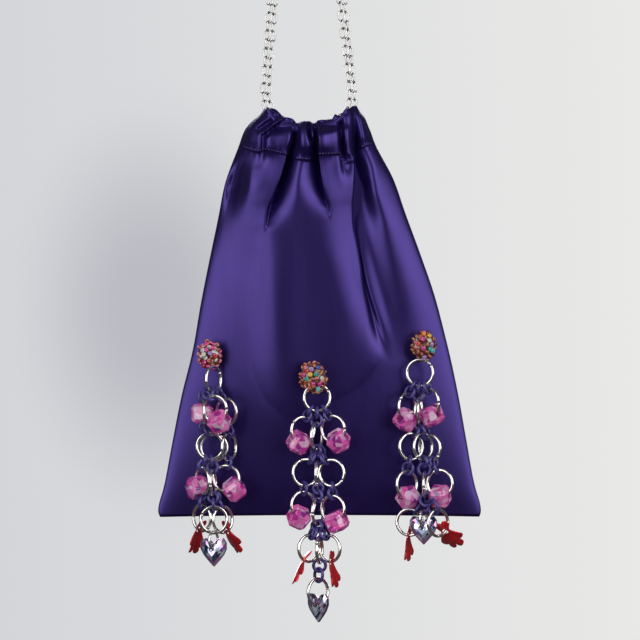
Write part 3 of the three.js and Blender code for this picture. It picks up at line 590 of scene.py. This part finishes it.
def satin_material():
    look = Look("purple_satin", Specular_IOR_Level=0.62, IOR=1.9, Specular_Tint=(0.33, 0.22, 1.0, 1.0),
                Anisotropic=0.3, Sheen_Weight=0.04, Sheen_Roughness=0.35, Sheen_Tint=(0.6, 0.5, 1.0, 1.0))
    shade = look.noise(18.0, 3.0)
    slubs = look.noise(260.0, 2.0, (1.0, 1.0, 0.12))
    weave = look.node("TexWave", [("bands_direction", "DIAGONAL")], Vector=look.place(), Scale=900.0,
                      Distortion=0.4)["Fac"]
    weave_share = 0.35
    both = look.tree.nodes.new("ShaderNodeMath")
    both.operation = "MULTIPLY_ADD"
    for value, socket in zip((weave, weave_share, slubs), both.inputs):
        look.join(value, socket)
    look.bump(both.outputs[0], 0.10, 0.0002)
    colour = look.ramp(shade, [(0.3, (0.004, 0.0016, 0.024)), (0.7, (0.005, 0.0021, 0.032))])
    return look.finish(Base_Color=colour, Roughness=look.spread(slubs, 0.33, 0.40))


def marked_material(name, grain, stops, rough, relief, **inputs):
    """A finish whose colour, roughness and relief follow the same small marks."""
    look = Look(name, **inputs)
    marks = look.noise(*grain)
    look.bump(marks, *relief)
    return look.finish(Base_Color=look.ramp(marks, stops), Roughness=look.spread(marks, *rough))


def steel_material(name, colour, rough):
    dull = tuple(0.9 * c for c in colour)
    return marked_material(name, (900.0, 3.0), [(0.3, dull), (0.7, colour)], rough, (0.05, 0.0001),
                           Metallic=1.0)


def acrylic_material():
    look = Look("pink_acrylic", Transmission_Weight=0.45, IOR=1.49, Coat_Weight=0.5, Coat_Roughness=0.02)
    # The acrylic's own pink is broken into random facet-like cells from dark purple to near white: painted
    # glints and painted dark reflections inside the bead
    glint_cells = look.node("TexVoronoi", Vector=look.place(), Scale=330.0)["Color"]
    colour = look.ramp(look.node("SeparateColor", Color=glint_cells)["Red"], [
        (0.0, (0.20, 0.03, 0.30)), (0.16, (0.62, 0.05, 0.40)), (0.30, (0.90, 0.14, 0.52)),
        (0.72, (1.0, 0.30, 0.72)), (0.86, (1.0, 0.55, 0.86)), (1.0, (1.0, 0.88, 0.97)),
    ])
    return look.finish(Base_Color=colour, Roughness=look.spread(look.noise(160.0), 0.01, 0.05))


def crystal_material():
    look = Look("cut_crystal", Metallic=0.6, IOR=1.55, Coat_Weight=1.0, Coat_Roughness=0.02,
                Thin_Film_Thickness=420.0, Thin_Film_IOR=1.7)
    # Each facet's colour follows the way it faces: painted reflections from near black to near white, and
    # the painted shifting tints of the coating
    facing = look.node("NewGeometry")["True Normal"]
    colour = look.ramp(look.node("TexNoise", Vector=facing, Scale=11.0, Detail=0.0)["Fac"], [
        (0.32, (0.02, 0.03, 0.09)), (0.40, (0.10, 0.16, 0.28)), (0.46, (0.62, 0.68, 0.84)),
        (0.53, (0.85, 0.87, 0.92)), (0.58, (0.36, 0.28, 0.62)), (0.64, (0.06, 0.05, 0.14)),
        (0.70, (0.60, 0.20, 0.45)),
    ])
    return look.finish(Base_Color=colour, Roughness=look.spread(look.noise(500.0), 0.03, 0.10))


def seed_material():
    look = Look("seed_glass", Coat_Weight=1.0, Coat_Roughness=0.03, Specular_IOR_Level=0.8,
                Transmission_Weight=0.3)
    tint = look.node("Attribute", [("attribute_name", "tint")])["Color"]
    return look.finish(Base_Color=tint, Roughness=look.spread(look.noise(700.0), 0.08, 0.22))


def wall_material():
    """A pale surface from one shade at the left to another at the right, a painted falloff of the light,
    with a dim round patch that is a painted shadow of the bag.
    """
    look = Look("pale_wall", Base_Color=(0.0, 0.0, 0.0, 1.0), Specular_IOR_Level=0.0, Roughness=1.0,
                Emission_Strength=1.0)
    place = look.node("TexCoord")["Object"]
    # Darker at the left and lighter at the right: a painted falloff of the light across the wall
    x = look.node("SeparateXYZ", Vector=place)["X"]
    across = look.node("MapRange", Value=x, From_Min=-WALL.span, From_Max=WALL.span)["Result"]
    colour = look.ramp(across, [(0.0, WALL.left), (1.0, WALL.right)])
    # A dim round patch over the colour: the painted shadow of the bag
    wide, high = PAINTED_SHADOW.wide, PAINTED_SHADOW.high
    shadow_patch = look.node("Mapping", Vector=place, Scale=(1 / wide, 0.0, 1 / high),
                      Location=(-PAINTED_SHADOW.x / wide, 0.0, -PAINTED_SHADOW.z / high))["Vector"]
    near = look.node("TexGradient", [("gradient_type", "SPHERICAL")], Vector=shadow_patch)["Fac"]
    dim = look.ramp(near, [(0.0, (1.0, 1.0, 1.0)), (PAINTED_SHADOW.core, PAINTED_SHADOW.dim)], "EASE")
    both = look.node("MixRGB", [("blend_type", "MULTIPLY")], Fac=1.0, Color1=colour, Color2=dim)["Color"]
    return look.finish(Emission_Color=both)


def floor_material():
    look = Look("pale_floor", Roughness=0.85, Specular_IOR_Level=0.2, Emission_Strength=0.65)
    colour = look.ramp(look.noise(1.5), [(0.3, (0.70, 0.70, 0.71)), (0.7, (0.76, 0.76, 0.76))])
    return look.finish(Base_Color=colour, Emission_Color=colour)


SATIN = satin_material()
STEEL = steel_material("ring_steel", (0.80, 0.78, 0.74), (0.10, 0.22))
CHAIN_STEEL = steel_material("chain_steel", (0.66, 0.65, 0.63), (0.10, 0.20))
PURPLE_LINKS = marked_material(
    "purple_links", (700.0, 3.0), [(0.3, (0.050, 0.036, 0.190)), (0.7, (0.072, 0.054, 0.250))],
    (0.24, 0.38), (0.08, 0.0001), Metallic=0.25, Coat_Weight=0.3, Coat_Roughness=0.15)
ACRYLIC = acrylic_material()
CRYSTAL = crystal_material()
FOIL = marked_material(
    "red_foil", (160.0, 2.0), [(0.3, (0.62, 0.010, 0.018)), (0.7, (0.80, 0.022, 0.032))],
    (0.14, 0.26), (0.06, 0.0002), Metallic=0.45, Coat_Weight=0.5, Coat_Roughness=0.06)
SEED_GLASS = seed_material()
THREAD = marked_material(
    "stitch_thread", (1500.0, 2.0), [(0.38, (0.02, 0.01, 0.08)), (0.62, (0.13, 0.10, 0.29))],
    (0.35, 0.55), (0.3, 0.0002))


# Pouch


def panel_place(side, s, k_low, k_casing):
    """Where the cloth's outer face is: s runs across, k_low up to the stitches, k_casing on to the edge."""
    face = FACES[side]
    hem_z = SECTIONS[0][0]
    turn = k_casing * pi / 2
    rise_up = np.sin(turn) ** CASING_TURN.rise
    level = hem_z + (STITCH_Z - hem_z) * k_low + (RIDGE.z - STITCH_Z) * rise_up
    edge = np.abs(s)
    x = section("sway", level) + s * section("half", level)
    z = level + section("rise", level) * edge ** SIDE_CURVE - section("tilt", level) * (1 + s) / 2
    ridge_z = RIDGE.z + RIDGE.rise * edge ** SIDE_CURVE
    z = z + rise_up ** 2 * (curve(*face.top.T, x) - ridge_z)
    seam = EDGE_REACH + (SEAM_REACH - EDGE_REACH) * np.sqrt(np.maximum(0, 1 - edge ** SEAM_ROUND))
    reach = seam + section("depth", level) * (1 - edge ** section("fullness", level))
    fade = np.clip((1 - edge) / FOLD_FADE, 0, 1)
    away = z - curve(*face.stitch.T, x)
    step = -HEM_STEP.high * (1 + np.tanh((away + HEM_STEP.below) / HEM_STEP.soft)) / 2
    waves = PUCKER.deep * np.sin(2 * pi * x / PUCKER.every)
    pucker = waves * np.exp(-(away / PUCKER.reach) ** 2)
    pressed = fold_depth(face.folds, x, z) + crease_depth(face.creases, x, z) + step + pucker
    reach = np.maximum(reach - fade * pressed, np.minimum(reach, LEAST_REACH + LEAST_SHARE * reach))
    ridge_y = RIDGE.middle + (RIDGE.side - RIDGE.middle) * edge ** RIDGE.curve
    reach = ridge_y + (reach - ridge_y) * np.where(k_casing > 0, np.cos(turn) ** CASING_TURN.inward, 1.0)
    reach = np.maximum(np.maximum(reach, EDGE_REACH), chain_cover(side, x, z))
    return x + crest_lean(face.leans, x, z), reach, z


def chain_cover(side, x, z):
    """How far out the cloth has to stay to lie over the chain in the casing."""
    run = np.array(CASING_RUN)
    along = np.abs(x - side * CHAIN_SHIFT)
    middle_y = np.interp(along, run[:, 0], run[:, 1])
    middle_z = np.interp(along, run[:, 0], run[:, 2])
    room = (CHAIN_RADIUS + COVER) ** 2 - (z - middle_z) ** 2
    return np.where((room > 0) & (along < COVER_HALF), middle_y + np.sqrt(np.maximum(room, 0)), 0.0)


def panel(name, side, replaced, columns, rows, casing_rows, inner_rows):
    """A closed cloth shell: the outer face up from the hem, over the edge, and down the inside."""
    q = np.linspace(-1, 1, columns)
    s = GRID_EASE.even * q + (1 - GRID_EASE.even) * np.sin(q * pi / 2)
    low = np.concatenate([1 - np.linspace(1, 0, rows) ** GRID_EASE.rows, np.ones(casing_rows)])
    casing = np.concatenate([np.zeros(rows), np.linspace(0, 1, casing_rows + 1)[1:]])
    x, reach, z = panel_place(side, *np.meshgrid(s, low), np.meshgrid(s, casing)[1])
    outer = np.stack([x, side * reach, z], -1)
    top = len(low) - 1
    through = list(range(rows + casing_rows - 3, rows - 2, -GRID_EASE.casing_step))
    wall = [int(round(i)) for i in np.linspace(rows - 2, 1, inner_rows)]
    mouth = EDGE_REACH + MOUTH.reach * np.maximum(0, 1 - (s / MOUTH.half) ** 2)
    inner = []
    for i in through + wall:
        depth = np.maximum(EDGE_REACH / 2, reach[i] - CLOTH)
        if i >= rows - 1:
            depth = np.minimum(depth, mouth + (reach[top] - mouth) * casing[i] ** MOUTH.close)
        inner.append(np.stack([x[i], side * depth, z[i]], -1))
    grid = np.concatenate([outer, np.array(inner)])
    faces = grid_faces(len(grid), columns, wrap_rows=True, wrap_columns=False)
    # The two side edges, closed in short steps between the inner rows
    marks = [(top, top)] + [(o, top + 1 + n) for n, o in enumerate(through + wall)] + [(0, 0)]
    for j in (0, columns - 1):
        for (o0, i0), (o1, i1) in zip(marks, marks[1:]):
            rim = [i0] + list(range(o0, o1 - 1, -1)) + [i1]
            rim = [r * columns + j for r in dict.fromkeys(rim)]
            faces.append(tuple(rim if j else rim[::-1]))
    if side > 0:
        faces = [face[::-1] for face in faces]
    shapes = Shapes()
    shapes.add(grid.reshape(-1, 3), faces)
    return shapes.piece(name, SATIN, "satin", replaced)


front_cloth = panel("front_cloth", -1, "front_panel", **FRONT_GRID)
back_cloth = panel("back_cloth", 1, "back_panel", **BACK_GRID)


def stitches(name, side):
    """Short threads along the casing, laid on the cloth, with none deep in a fold."""
    face = FACES[side]
    line = face.stitch
    reach = run_length(line)
    s = np.linspace(-STITCH_BAND.half, STITCH_BAND.half, STITCH_BAND.columns)
    low = np.linspace(STITCH_BAND.low, 1.0, STITCH_BAND.low_rows)
    casing = np.linspace(0, STITCH_BAND.casing, STITCH_BAND.casing_rows)
    below = panel_place(side, *np.meshgrid(s, low), 0.0)
    across, up = np.meshgrid(s, casing)
    above = panel_place(side, across, 1.0, up)
    near_x, near_reach, near_z = (np.concatenate(pair) for pair in zip(below, above))

    def line_at(e):
        return [np.interp(e, reach, line[:, k]) for k in (0, 1)]

    def on_cloth(x, z):
        i, j = np.unravel_index(np.argmin((near_x - x) ** 2 + (near_z - z) ** 2), near_x.shape)
        return np.array([x, side * (near_reach[i, j] + STITCH.proud), z])

    shapes = Shapes()
    count = int(reach[-1] / STITCH.every)
    for n in range(count):
        middle = (n + 0.5) * reach[-1] / count
        if fold_depth(face.folds, *np.array(line_at([middle])))[0] > STITCH.hidden:
            continue
        path = [on_cloth(*line_at(middle + step * STITCH.half)) for step in (-1, 0, 1)]
        shapes.add(*tube(path, STITCH.thick, STITCH.sides, False, BACKWARD))
    shapes.piece(name, THREAD, "satin")


stitches("front_stitches", -1)
stitches("back_stitches", 1)


# Handle


def loop_path(side):
    """One whole loop of chain: through the casing, up, over the top and down again."""
    right = [(x, side * y, z) for x, y, z in CASING_RUN]
    centre_z = CHAIN_RADIUS - BEND.radius
    arc = []
    for i in range(BEND.steps + 1):
        a = radians(BEND.start + (180 - 2 * BEND.start) * i / BEND.steps)
        arc.append((BEND.radius * cos(a), side * BEND.y, centre_z + BEND.radius * sin(a)))
    left = [(-x, y, z) for x, y, z in right[:0:-1]]
    return np.array(right + arc + left) + np.array([side * CHAIN_SHIFT, 0, 0])


def evenly(path, pitch):
    """Places and directions round a closed path, an even number of them about a pitch apart."""
    ring = np.concatenate([path, path[:1]])
    reach = run_length(ring)
    count = 2 * round(reach[-1] / pitch / 2)
    at = np.linspace(0, reach[-1], count, endpoint=False)
    places = np.stack([np.interp(at, reach, ring[:, k]) for k in range(3)], -1)
    ahead = np.roll(places, -1, 0) - np.roll(places, 1, 0)
    return places, ahead / np.linalg.norm(ahead, axis=1)[:, None]


def chain(name, side, replaced):
    """A loop of long links, each a quarter turn from the one before and a little off true."""
    shapes = Shapes()
    end = LINK.width / 2 - LINK.wire
    straight = LINK.length / 2 - LINK.width / 2
    for n, (p, t) in enumerate(zip(*evenly(loop_path(side), LINK.pitch))):
        flat = unit(np.cross(t, BACKWARD))
        over = np.cross(flat, t)
        lean = radians((90 if n % 2 else 0) + LINK.drift * sin(LINK.drift_step * n + side))
        wide = between(flat, over, lean)
        ring = []
        for a in turns(LINK.points):
            far = straight if cos(a) > 0 else -straight
            ring.append(p + t * (far + end * cos(a)) + wide * end * sin(a))
        shapes.add(*tube(ring, LINK.wire, LINK.sides, True, np.cross(t, wide)))
    shapes.piece(name, CHAIN_STEEL, "chain_steel", replaced)


chain("chain_links_front", -1, "handle_chain_front")
chain("chain_links_back", 1, "handle_chain_back")


# Drops


def heading(yaw):
    a = radians(yaw)
    return np.array([cos(a), sin(a), 0.0])


def drop_rings(drop):
    """Every ring of a drop: its middle, its heading and its size."""
    base = np.array(drop["first"])
    rings = {"a": Sizes(at=base, to=heading(drop["yaw"]), on=None, **RING)}
    for name, on, x, z, fore, yaw in drop["rings"]:
        size = BAIL if name == "bail" else RING
        rings[name] = Sizes(at=base + np.array([x, -fore, z]), to=heading(yaw), on=on, **size)
    return rings


def nearest_wire(ring, point):
    away = point - ring.at
    flat = ring.to * (away @ ring.to) + UP * (away @ UP)
    return ring.at + ring.radius * unit(flat)


def wire_way(ring, point):
    """The wire's own direction where it passes a point."""
    out = unit(point - ring.at)
    return np.cross(out, np.cross(ring.to, UP))


def square_to(vector, way):
    """The part of a vector that is square to a way."""
    return unit(vector - way * (vector @ way))


def about(vector, axis, angle):
    """A vector that is square to an axis, turned about it."""
    return between(vector, np.cross(axis, vector), radians(angle))


def purple_links(shapes, parent, child):
    """One or two small links that join two rings where they are nearest."""
    p = nearest_wire(parent, child.at)
    for _ in range(PURPLE.tries):
        q = nearest_wire(child, p)
        p = nearest_wire(parent, q)
    span = np.linalg.norm(q - p)
    way = unit(q - p)
    hang = 2 * PURPLE.wire
    first = square_to(wire_way(parent, p), way)
    second = square_to(wire_way(child, q), way)
    if first @ second < 0:
        second = -second
    if span <= PURPLE.single:
        runs = [(-hang, span + hang, unit(first + second))]
    else:
        turn = degrees(acos(min(1.0, first @ second)))
        lean = max(0.0, PURPLE.apart - turn) / 2
        middle = (span + hang / 2) / 2
        sign = 1.0 if np.cross(first, second) @ way > 0 else -1.0
        runs = [(-hang, middle, about(first, way, -sign * lean)),
                (middle - hang, span + hang, about(second, way, sign * lean))]
    for start, stop, face in runs:
        radius = (stop - start) / 2
        shapes.add(*hoop(p + way * (start + radius), way, np.cross(face, way), radius, PURPLE.wire,
                         PURPLE.points, PURPLE.sides))


def turned(shape, x_axis, y_axis, z_axis, at):
    """A shape by itself, turned to its axes and moved to its place."""
    points, faces = shape
    shapes = Shapes()
    shapes.add(np.asarray(points) @ np.array([x_axis, y_axis, z_axis]) + at, faces)
    return shapes


def on_wire(ring, angle, out):
    """Axes and place of a piece that is threaded on a ring at an angle."""
    a = radians(angle)
    outward = between(ring.to, UP, a)
    along = between(UP, -ring.to, a)
    return outward, np.cross(along, outward), along, ring.at + outward * out


def cube_bead():
    """A cube with cut edges and corners, eased all round, with a hole along Z."""
    half, flat = BEAD.half, BEAD.flat
    bm = bmesh.new()
    for axis, end, a, b in product(range(3), (-half, half), (-flat, flat), (-flat, flat)):
        corner = [a, b]
        corner.insert(axis, end)
        bm.verts.new(corner)
    bmesh.ops.convex_hull(bm, input=bm.verts)
    bmesh.ops.dissolve_limit(bm, angle_limit=BEAD.level, verts=bm.verts, edges=bm.edges)
    caps = [face for face in bm.faces if abs(face.normal.z) > cos(BEAD.level)]
    bmesh.ops.inset_individual(bm, faces=caps, thickness=flat - BEAD.hole)
    bmesh.ops.bridge_loops(bm, edges=[e for face in caps for e in face.edges])
    bmesh.ops.delete(bm, geom=caps, context="FACES")
    sharp = [e for e in bm.edges if len(e.link_faces) == 2 and e.calc_face_angle(0) > BEAD.sharp]
    bmesh.ops.bevel(bm, geom=sharp, offset=BEAD.ease, segments=2, affect="EDGES", profile=0.5)
    bmesh.ops.recalc_face_normals(bm, faces=bm.faces)
    bm.verts.index_update()
    points = [tuple(v.co) for v in bm.verts]
    faces = [tuple(v.index for v in f.verts) for f in bm.faces]
    bm.free()
    return points, faces


def heart_outline(shift):
    """A heart with its notch at the top and its point at the bottom."""
    points = []
    for a in turns(HEART.sides, shift):
        high = sum(wave * cos((n + 1) * a) for n, wave in enumerate(HEART_CURVE.waves))
        aside = copysign(abs(sin(a)) ** HEART_CURVE.power, sin(a))
        points.append((HEART.width / 2 * aside,
                       HEART.height * (high + HEART_CURVE.middle) / HEART_CURVE.span))
    return np.array(points)


def drilled(points, faces, radius, length, z):
    """A shape with a round hole through it along Y."""
    blank = new_mesh("blank", points, faces)
    bm = bmesh.new()
    bmesh.ops.create_cone(bm, cap_ends=True, segments=DRILL_SIDES, radius1=radius, radius2=radius,
                          depth=length, matrix=Matrix.Translation((0, 0, z)) @ QUARTER_TURN)
    bit = bpy.data.meshes.new("drill")
    bm.to_mesh(bit)
    bm.free()
    objects = [new_object(mesh.name, mesh) for mesh in (blank, bit)]
    cut = objects[0].modifiers.new("cut", "BOOLEAN")
    cut.object = objects[1]
    cut.operation = "DIFFERENCE"
    cut.solver = "EXACT"
    result = objects[0].evaluated_get(bpy.context.evaluated_depsgraph_get()).to_mesh()
    new_points = [tuple(v.co) for v in result.vertices]
    new_faces = [tuple(f.vertices) for f in result.polygons]
    for obj in objects:
        bpy.data.objects.remove(obj)
    for mesh in (blank, bit):
        bpy.data.meshes.remove(mesh)
    return new_points, new_faces


def heart_shape():
    """A cut heart with large crown facets, a table on both faces and a hole under its notch."""
    count = HEART.sides
    points = []
    faces = []
    for face in (-1, 1):
        start = len(points)
        for shift, share, climb in HEART_ROWS:
            deep = face * (HEART.girdle * (1 - climb) + HEART.crown * climb)
            points += [(x, deep, z) for x, z in heart_outline(shift) * share]
        for n in range(count):
            m = (n + 1) % count
            a, b, c, d, e, f, g, h = (start + r * count + k for r in range(len(HEART_ROWS)) for k in (n, m))
            for corners in ((a, b, c), (b, d, c), (c, d, f), (c, f, e), (e, f, g), (f, h, g)):
                faces.append(corners if face < 0 else corners[::-1])
        table = tuple(range(len(points) - count, len(points)))
        faces.append(table if face < 0 else table[::-1])
    faces += band_faces(count, 0, len(points) // 2)
    return drilled(points, faces, HEART.hole, 4 * HEART.crown, HEART.hole_z)


def petal_reach(angle):
    """How far the flower's rim is from its hole at an angle: the farthest of its finger-like petals."""
    farthest = FLOWER.half
    for middle, reach, _ in PETALS:
        off = radians((angle - middle + 180) % 360 - 180)
        if abs(off) > pi / 2:
            continue
        tip = reach - FLOWER.half
        aside = abs(sin(off))
        if tip * aside < FLOWER.half:
            far = tip * cos(off) + sqrt(FLOWER.half ** 2 - (tip * aside) ** 2)
        else:
            far = FLOWER.half / aside
        farthest = max(farthest, far)
    return farthest


def flower_shape():
    """A foil flower of finger-like petals that faces Z, with its hole at the origin."""
    around, rings = FLOWER.around, FLOWER.rings
    places = [360 * n / around for n in range(around)]
    bends = sorted((middle % 360, lift / reach ** 2) for middle, reach, lift in PETALS)
    middles = [middle for middle, _ in bends]
    lifts = np.interp(places, middles, [bend for _, bend in bends], period=360)
    points = []
    for layer in (0, 1):
        for r in range(rings):
            for turn, lift in zip(places, lifts):
                rim = petal_reach(turn)
                far = FLOWER.hole + (rim - FLOWER.hole) * r / (rings - 1)
                nearest = min(abs((turn - m + 180) % 360 - 180) for m in middles)
                aside = far * sin(radians(min(nearest, 90))) / FLOWER.half
                spoon = FLOWER.spoon * min(1.0, aside) ** 2 * far / rim
                a = radians(turn)
                points.append((far * cos(a), far * sin(a),
                               lift * far * far + spoon + layer * FLOWER.thick))
    block = rings * around
    last = block - around
    under = grid_faces(rings, around)
    faces = under + [tuple(block + k for k in corners[::-1]) for corners in under]
    return points, faces + band_faces(around, block + last, last) + band_faces(around, 0, block)


BEAD_SHAPE = cube_bead()
HEART_SHAPE = heart_shape()
FLOWER_SHAPE = flower_shape()


def seed_bead(shapes, at, way, tint, size=1.0):
    side = unit(np.cross(way, SEED.askew))
    shapes.add(*hoop(at, side, np.cross(way, side), SEED.around * size, SEED.body * size,
                     SEED.points, SEED.sides), tint)


def bead_knot(name, knot, cluster, middle_y):
    """Seed beads sewn close together over a domed knot."""
    x, z, half_x, half_z = cluster
    draw = random.Random(knot["seed"])
    shapes = Shapes()
    placed = []

    def dome_at(dx, dz):
        flat = min(1.0, (dx / half_x) ** 2 + (dz / half_z) ** 2)
        return np.array([x + dx, middle_y - KNOT.dome * sqrt(max(0.0, 1 - flat)), z + dz])

    def polar(share, a):
        return dome_at(half_x * share * cos(a), half_z * share * sin(a))

    def outward(dx, dz):
        return unit(np.array([dx / half_x ** 2, -KNOT.forward, dz / half_z ** 2]))

    core = []
    for i in range(1, KNOT.rows + 1):
        share = KNOT.core * cos(pi / 2 * i / (KNOT.rows + 1))
        core += [polar(share, a) + KNOT.sunk * BACKWARD for a in turns(KNOT.around)]
    last = range(len(core) - KNOT.around, len(core))
    ends = [tuple(range(KNOT.around))[::-1], tuple(last)]
    shapes.add(core, grid_faces(KNOT.rows, KNOT.around) + ends, TINTS["brown"])
    lean = KNOT.accent_lean
    for dx, dz, tint in knot["accents"]:
        at = dome_at(dx * KNOT.accent_in, dz * KNOT.accent_in)
        way = unit(outward(dx, dz) + np.array([draw.uniform(-lean, lean), 0, draw.uniform(-lean, lean)]))
        seed_bead(shapes, at + outward(dx, dz) * KNOT.accent_proud, way, TINTS[tint])
        placed.append(at)
    nod = KNOT.nod
    for _ in range(KNOT.tries):
        a = draw.uniform(0, 2 * pi)
        at = polar(sqrt(draw.random()) * KNOT.core, a)
        if min(np.linalg.norm(at - other) for other in placed) < KNOT.apart:
            continue
        out = outward(at[0] - x, at[2] - z) * KNOT.outward
        way = unit(out + np.array([draw.uniform(-1, 1), draw.uniform(-nod, nod), draw.uniform(-1, 1)]))
        seed_bead(shapes, at, way, TINTS[draw.choice(knot["base"])], draw.uniform(*KNOT.sizes))
        placed.append(at)
    shapes.piece(name + "_seed_beads", SEED_GLASS, "seed_beads", name + "_bead_cluster", tinted=True)


for name, drop in DROPS.items():
    rings = drop_rings(drop)
    steel = Shapes()
    purple = Shapes()
    for n, (key, ring) in enumerate(rings.items()):
        steel.add(*hoop(ring.at, ring.to, UP, ring.radius, ring.wire, RING_POINTS, RING_SIDES,
                        cut=RING_CUT.first + RING_CUT.step * n))
        if ring.on and key != drop.get("unlinked"):
            purple_links(purple, rings[ring.on], ring)
    steel.piece(name + "_steel_rings", STEEL, "steel_rings", name + "_drop_rings")
    purple.piece(name + "_purple_links", PURPLE_LINKS, "steel_rings")
    for n, (on, angle, spin) in enumerate(drop["beads"], 1):
        outward, across, along, at = on_wire(rings[on], angle, BEAD.out)
        bead = turned(BEAD_SHAPE, about(outward, along, spin), about(across, along, spin), along, at)
        bead.piece(f"{name}_pink_bead_{n}", ACRYLIC, "pink_acrylic", f"{name}_cube_bead_{n}", smooth=False)
    for n, (on, angle, turn, hang) in enumerate(drop["flowers"], 1):
        outward, across, along, at = on_wire(rings[on], angle, rings[on].radius)
        across, along = about(across, outward, turn), about(along, outward, turn)
        fall = hang * degrees(atan2(-UP @ across, -UP @ outward))
        flower = turned(FLOWER_SHAPE, about(outward, along, fall), about(across, along, fall), along, at)
        flower.piece(f"{name}_foil_flower_{n}", FOIL, "red_foil", f"{name}_flower_{n}")
    holder = rings[drop["heart"]]
    normal = np.cross(UP, holder.to)
    at = holder.at + UP * (HEART.lift - holder.radius - HEART.hole_z)
    heart = turned(HEART_SHAPE, normal, np.cross(UP, normal), UP, at)
    heart.piece(name + "_crystal_heart", CRYSTAL, "cut_crystal", name + "_heart", smooth=False)
    low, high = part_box(name + "_bead_cluster")
    bead_knot(name, KNOTS[name], drop["cluster"], (low.y + high.y) / 2 / MM)


# Stage, light and camera


def stage_mesh(name, points, faces, material, **seen):
    """A part of the stage. What it is seen by can be turned off."""
    mesh = new_mesh(name, points, faces, smooth=True)
    mesh.materials.append(material)
    obj = new_object(name, mesh)
    for rays, on in seen.items():
        setattr(obj, "visible_" + rays, on)


def arc_wall(start, stop):
    """An upright wall round the stage between two angles."""
    steps = WALL.steps
    places = [radians(start + (stop - start) * i / steps) for i in range(steps + 1)]
    points = [(WALL.reach * cos(a), WALL.reach * sin(a), z)
              for a in places for z in (FLOOR.z, WALL.high)]
    return points, [(2 * i, 2 * i + 2, 2 * i + 3, 2 * i + 1) for i in range(steps)]


floor_ring = [(FLOOR.reach * cos(a), FLOOR.reach * sin(a), FLOOR.z) for a in turns(FLOOR.sides)]
PALE = wall_material()
# Of the stage, only the back wall lights the bag, so that the room in front of it stays dim
stage_mesh("floor", floor_ring, [tuple(range(FLOOR.sides))], floor_material(), diffuse=False, glossy=False)
stage_mesh("back_wall", *arc_wall(*WALL.back), PALE, glossy=False)
stage_mesh("front_wall", *arc_wall(*WALL.front), PALE, diffuse=False, glossy=False)

for name, place, size, power in LIGHTS:
    data = bpy.data.lights.new(name, "AREA")
    data.shape = "RECTANGLE"
    data.size, data.size_y = size
    data.energy = power
    lamp = new_object(name, data)
    lamp.location = place
    lamp.visible_camera = False
    lamp.rotation_euler = (Vector(AIM) - Vector(place)).to_track_quat("-Z", "Y").to_euler()

world = bpy.data.worlds.new("studio")
world.use_nodes = True
background = world.node_tree.nodes["Background"]
background.inputs["Color"].default_value = ROOM.colour
background.inputs["Strength"].default_value = ROOM.strength
bpy.context.scene.world = world
bpy.context.scene.view_settings.view_transform = "Standard"

lens = bpy.data.cameras.new("camera")
lens.sensor_width = CAMERA.sensor
lens.lens = CAMERA.sensor * CAMERA.away / CAMERA.across
lens.clip_end = CAMERA.clip * MM
camera = new_object("camera", lens)
roll = radians(CAMERA.roll)
c, s = cos(roll), sin(roll)
x, z = CAMERA.centre
camera.matrix_world = Matrix((
    (c, s, 0, x * MM), (0, 0, -1, -CAMERA.away * MM), (-s, c, 0, z * MM), (0, 0, 0, 1)))
bpy.context.scene.camera = camera
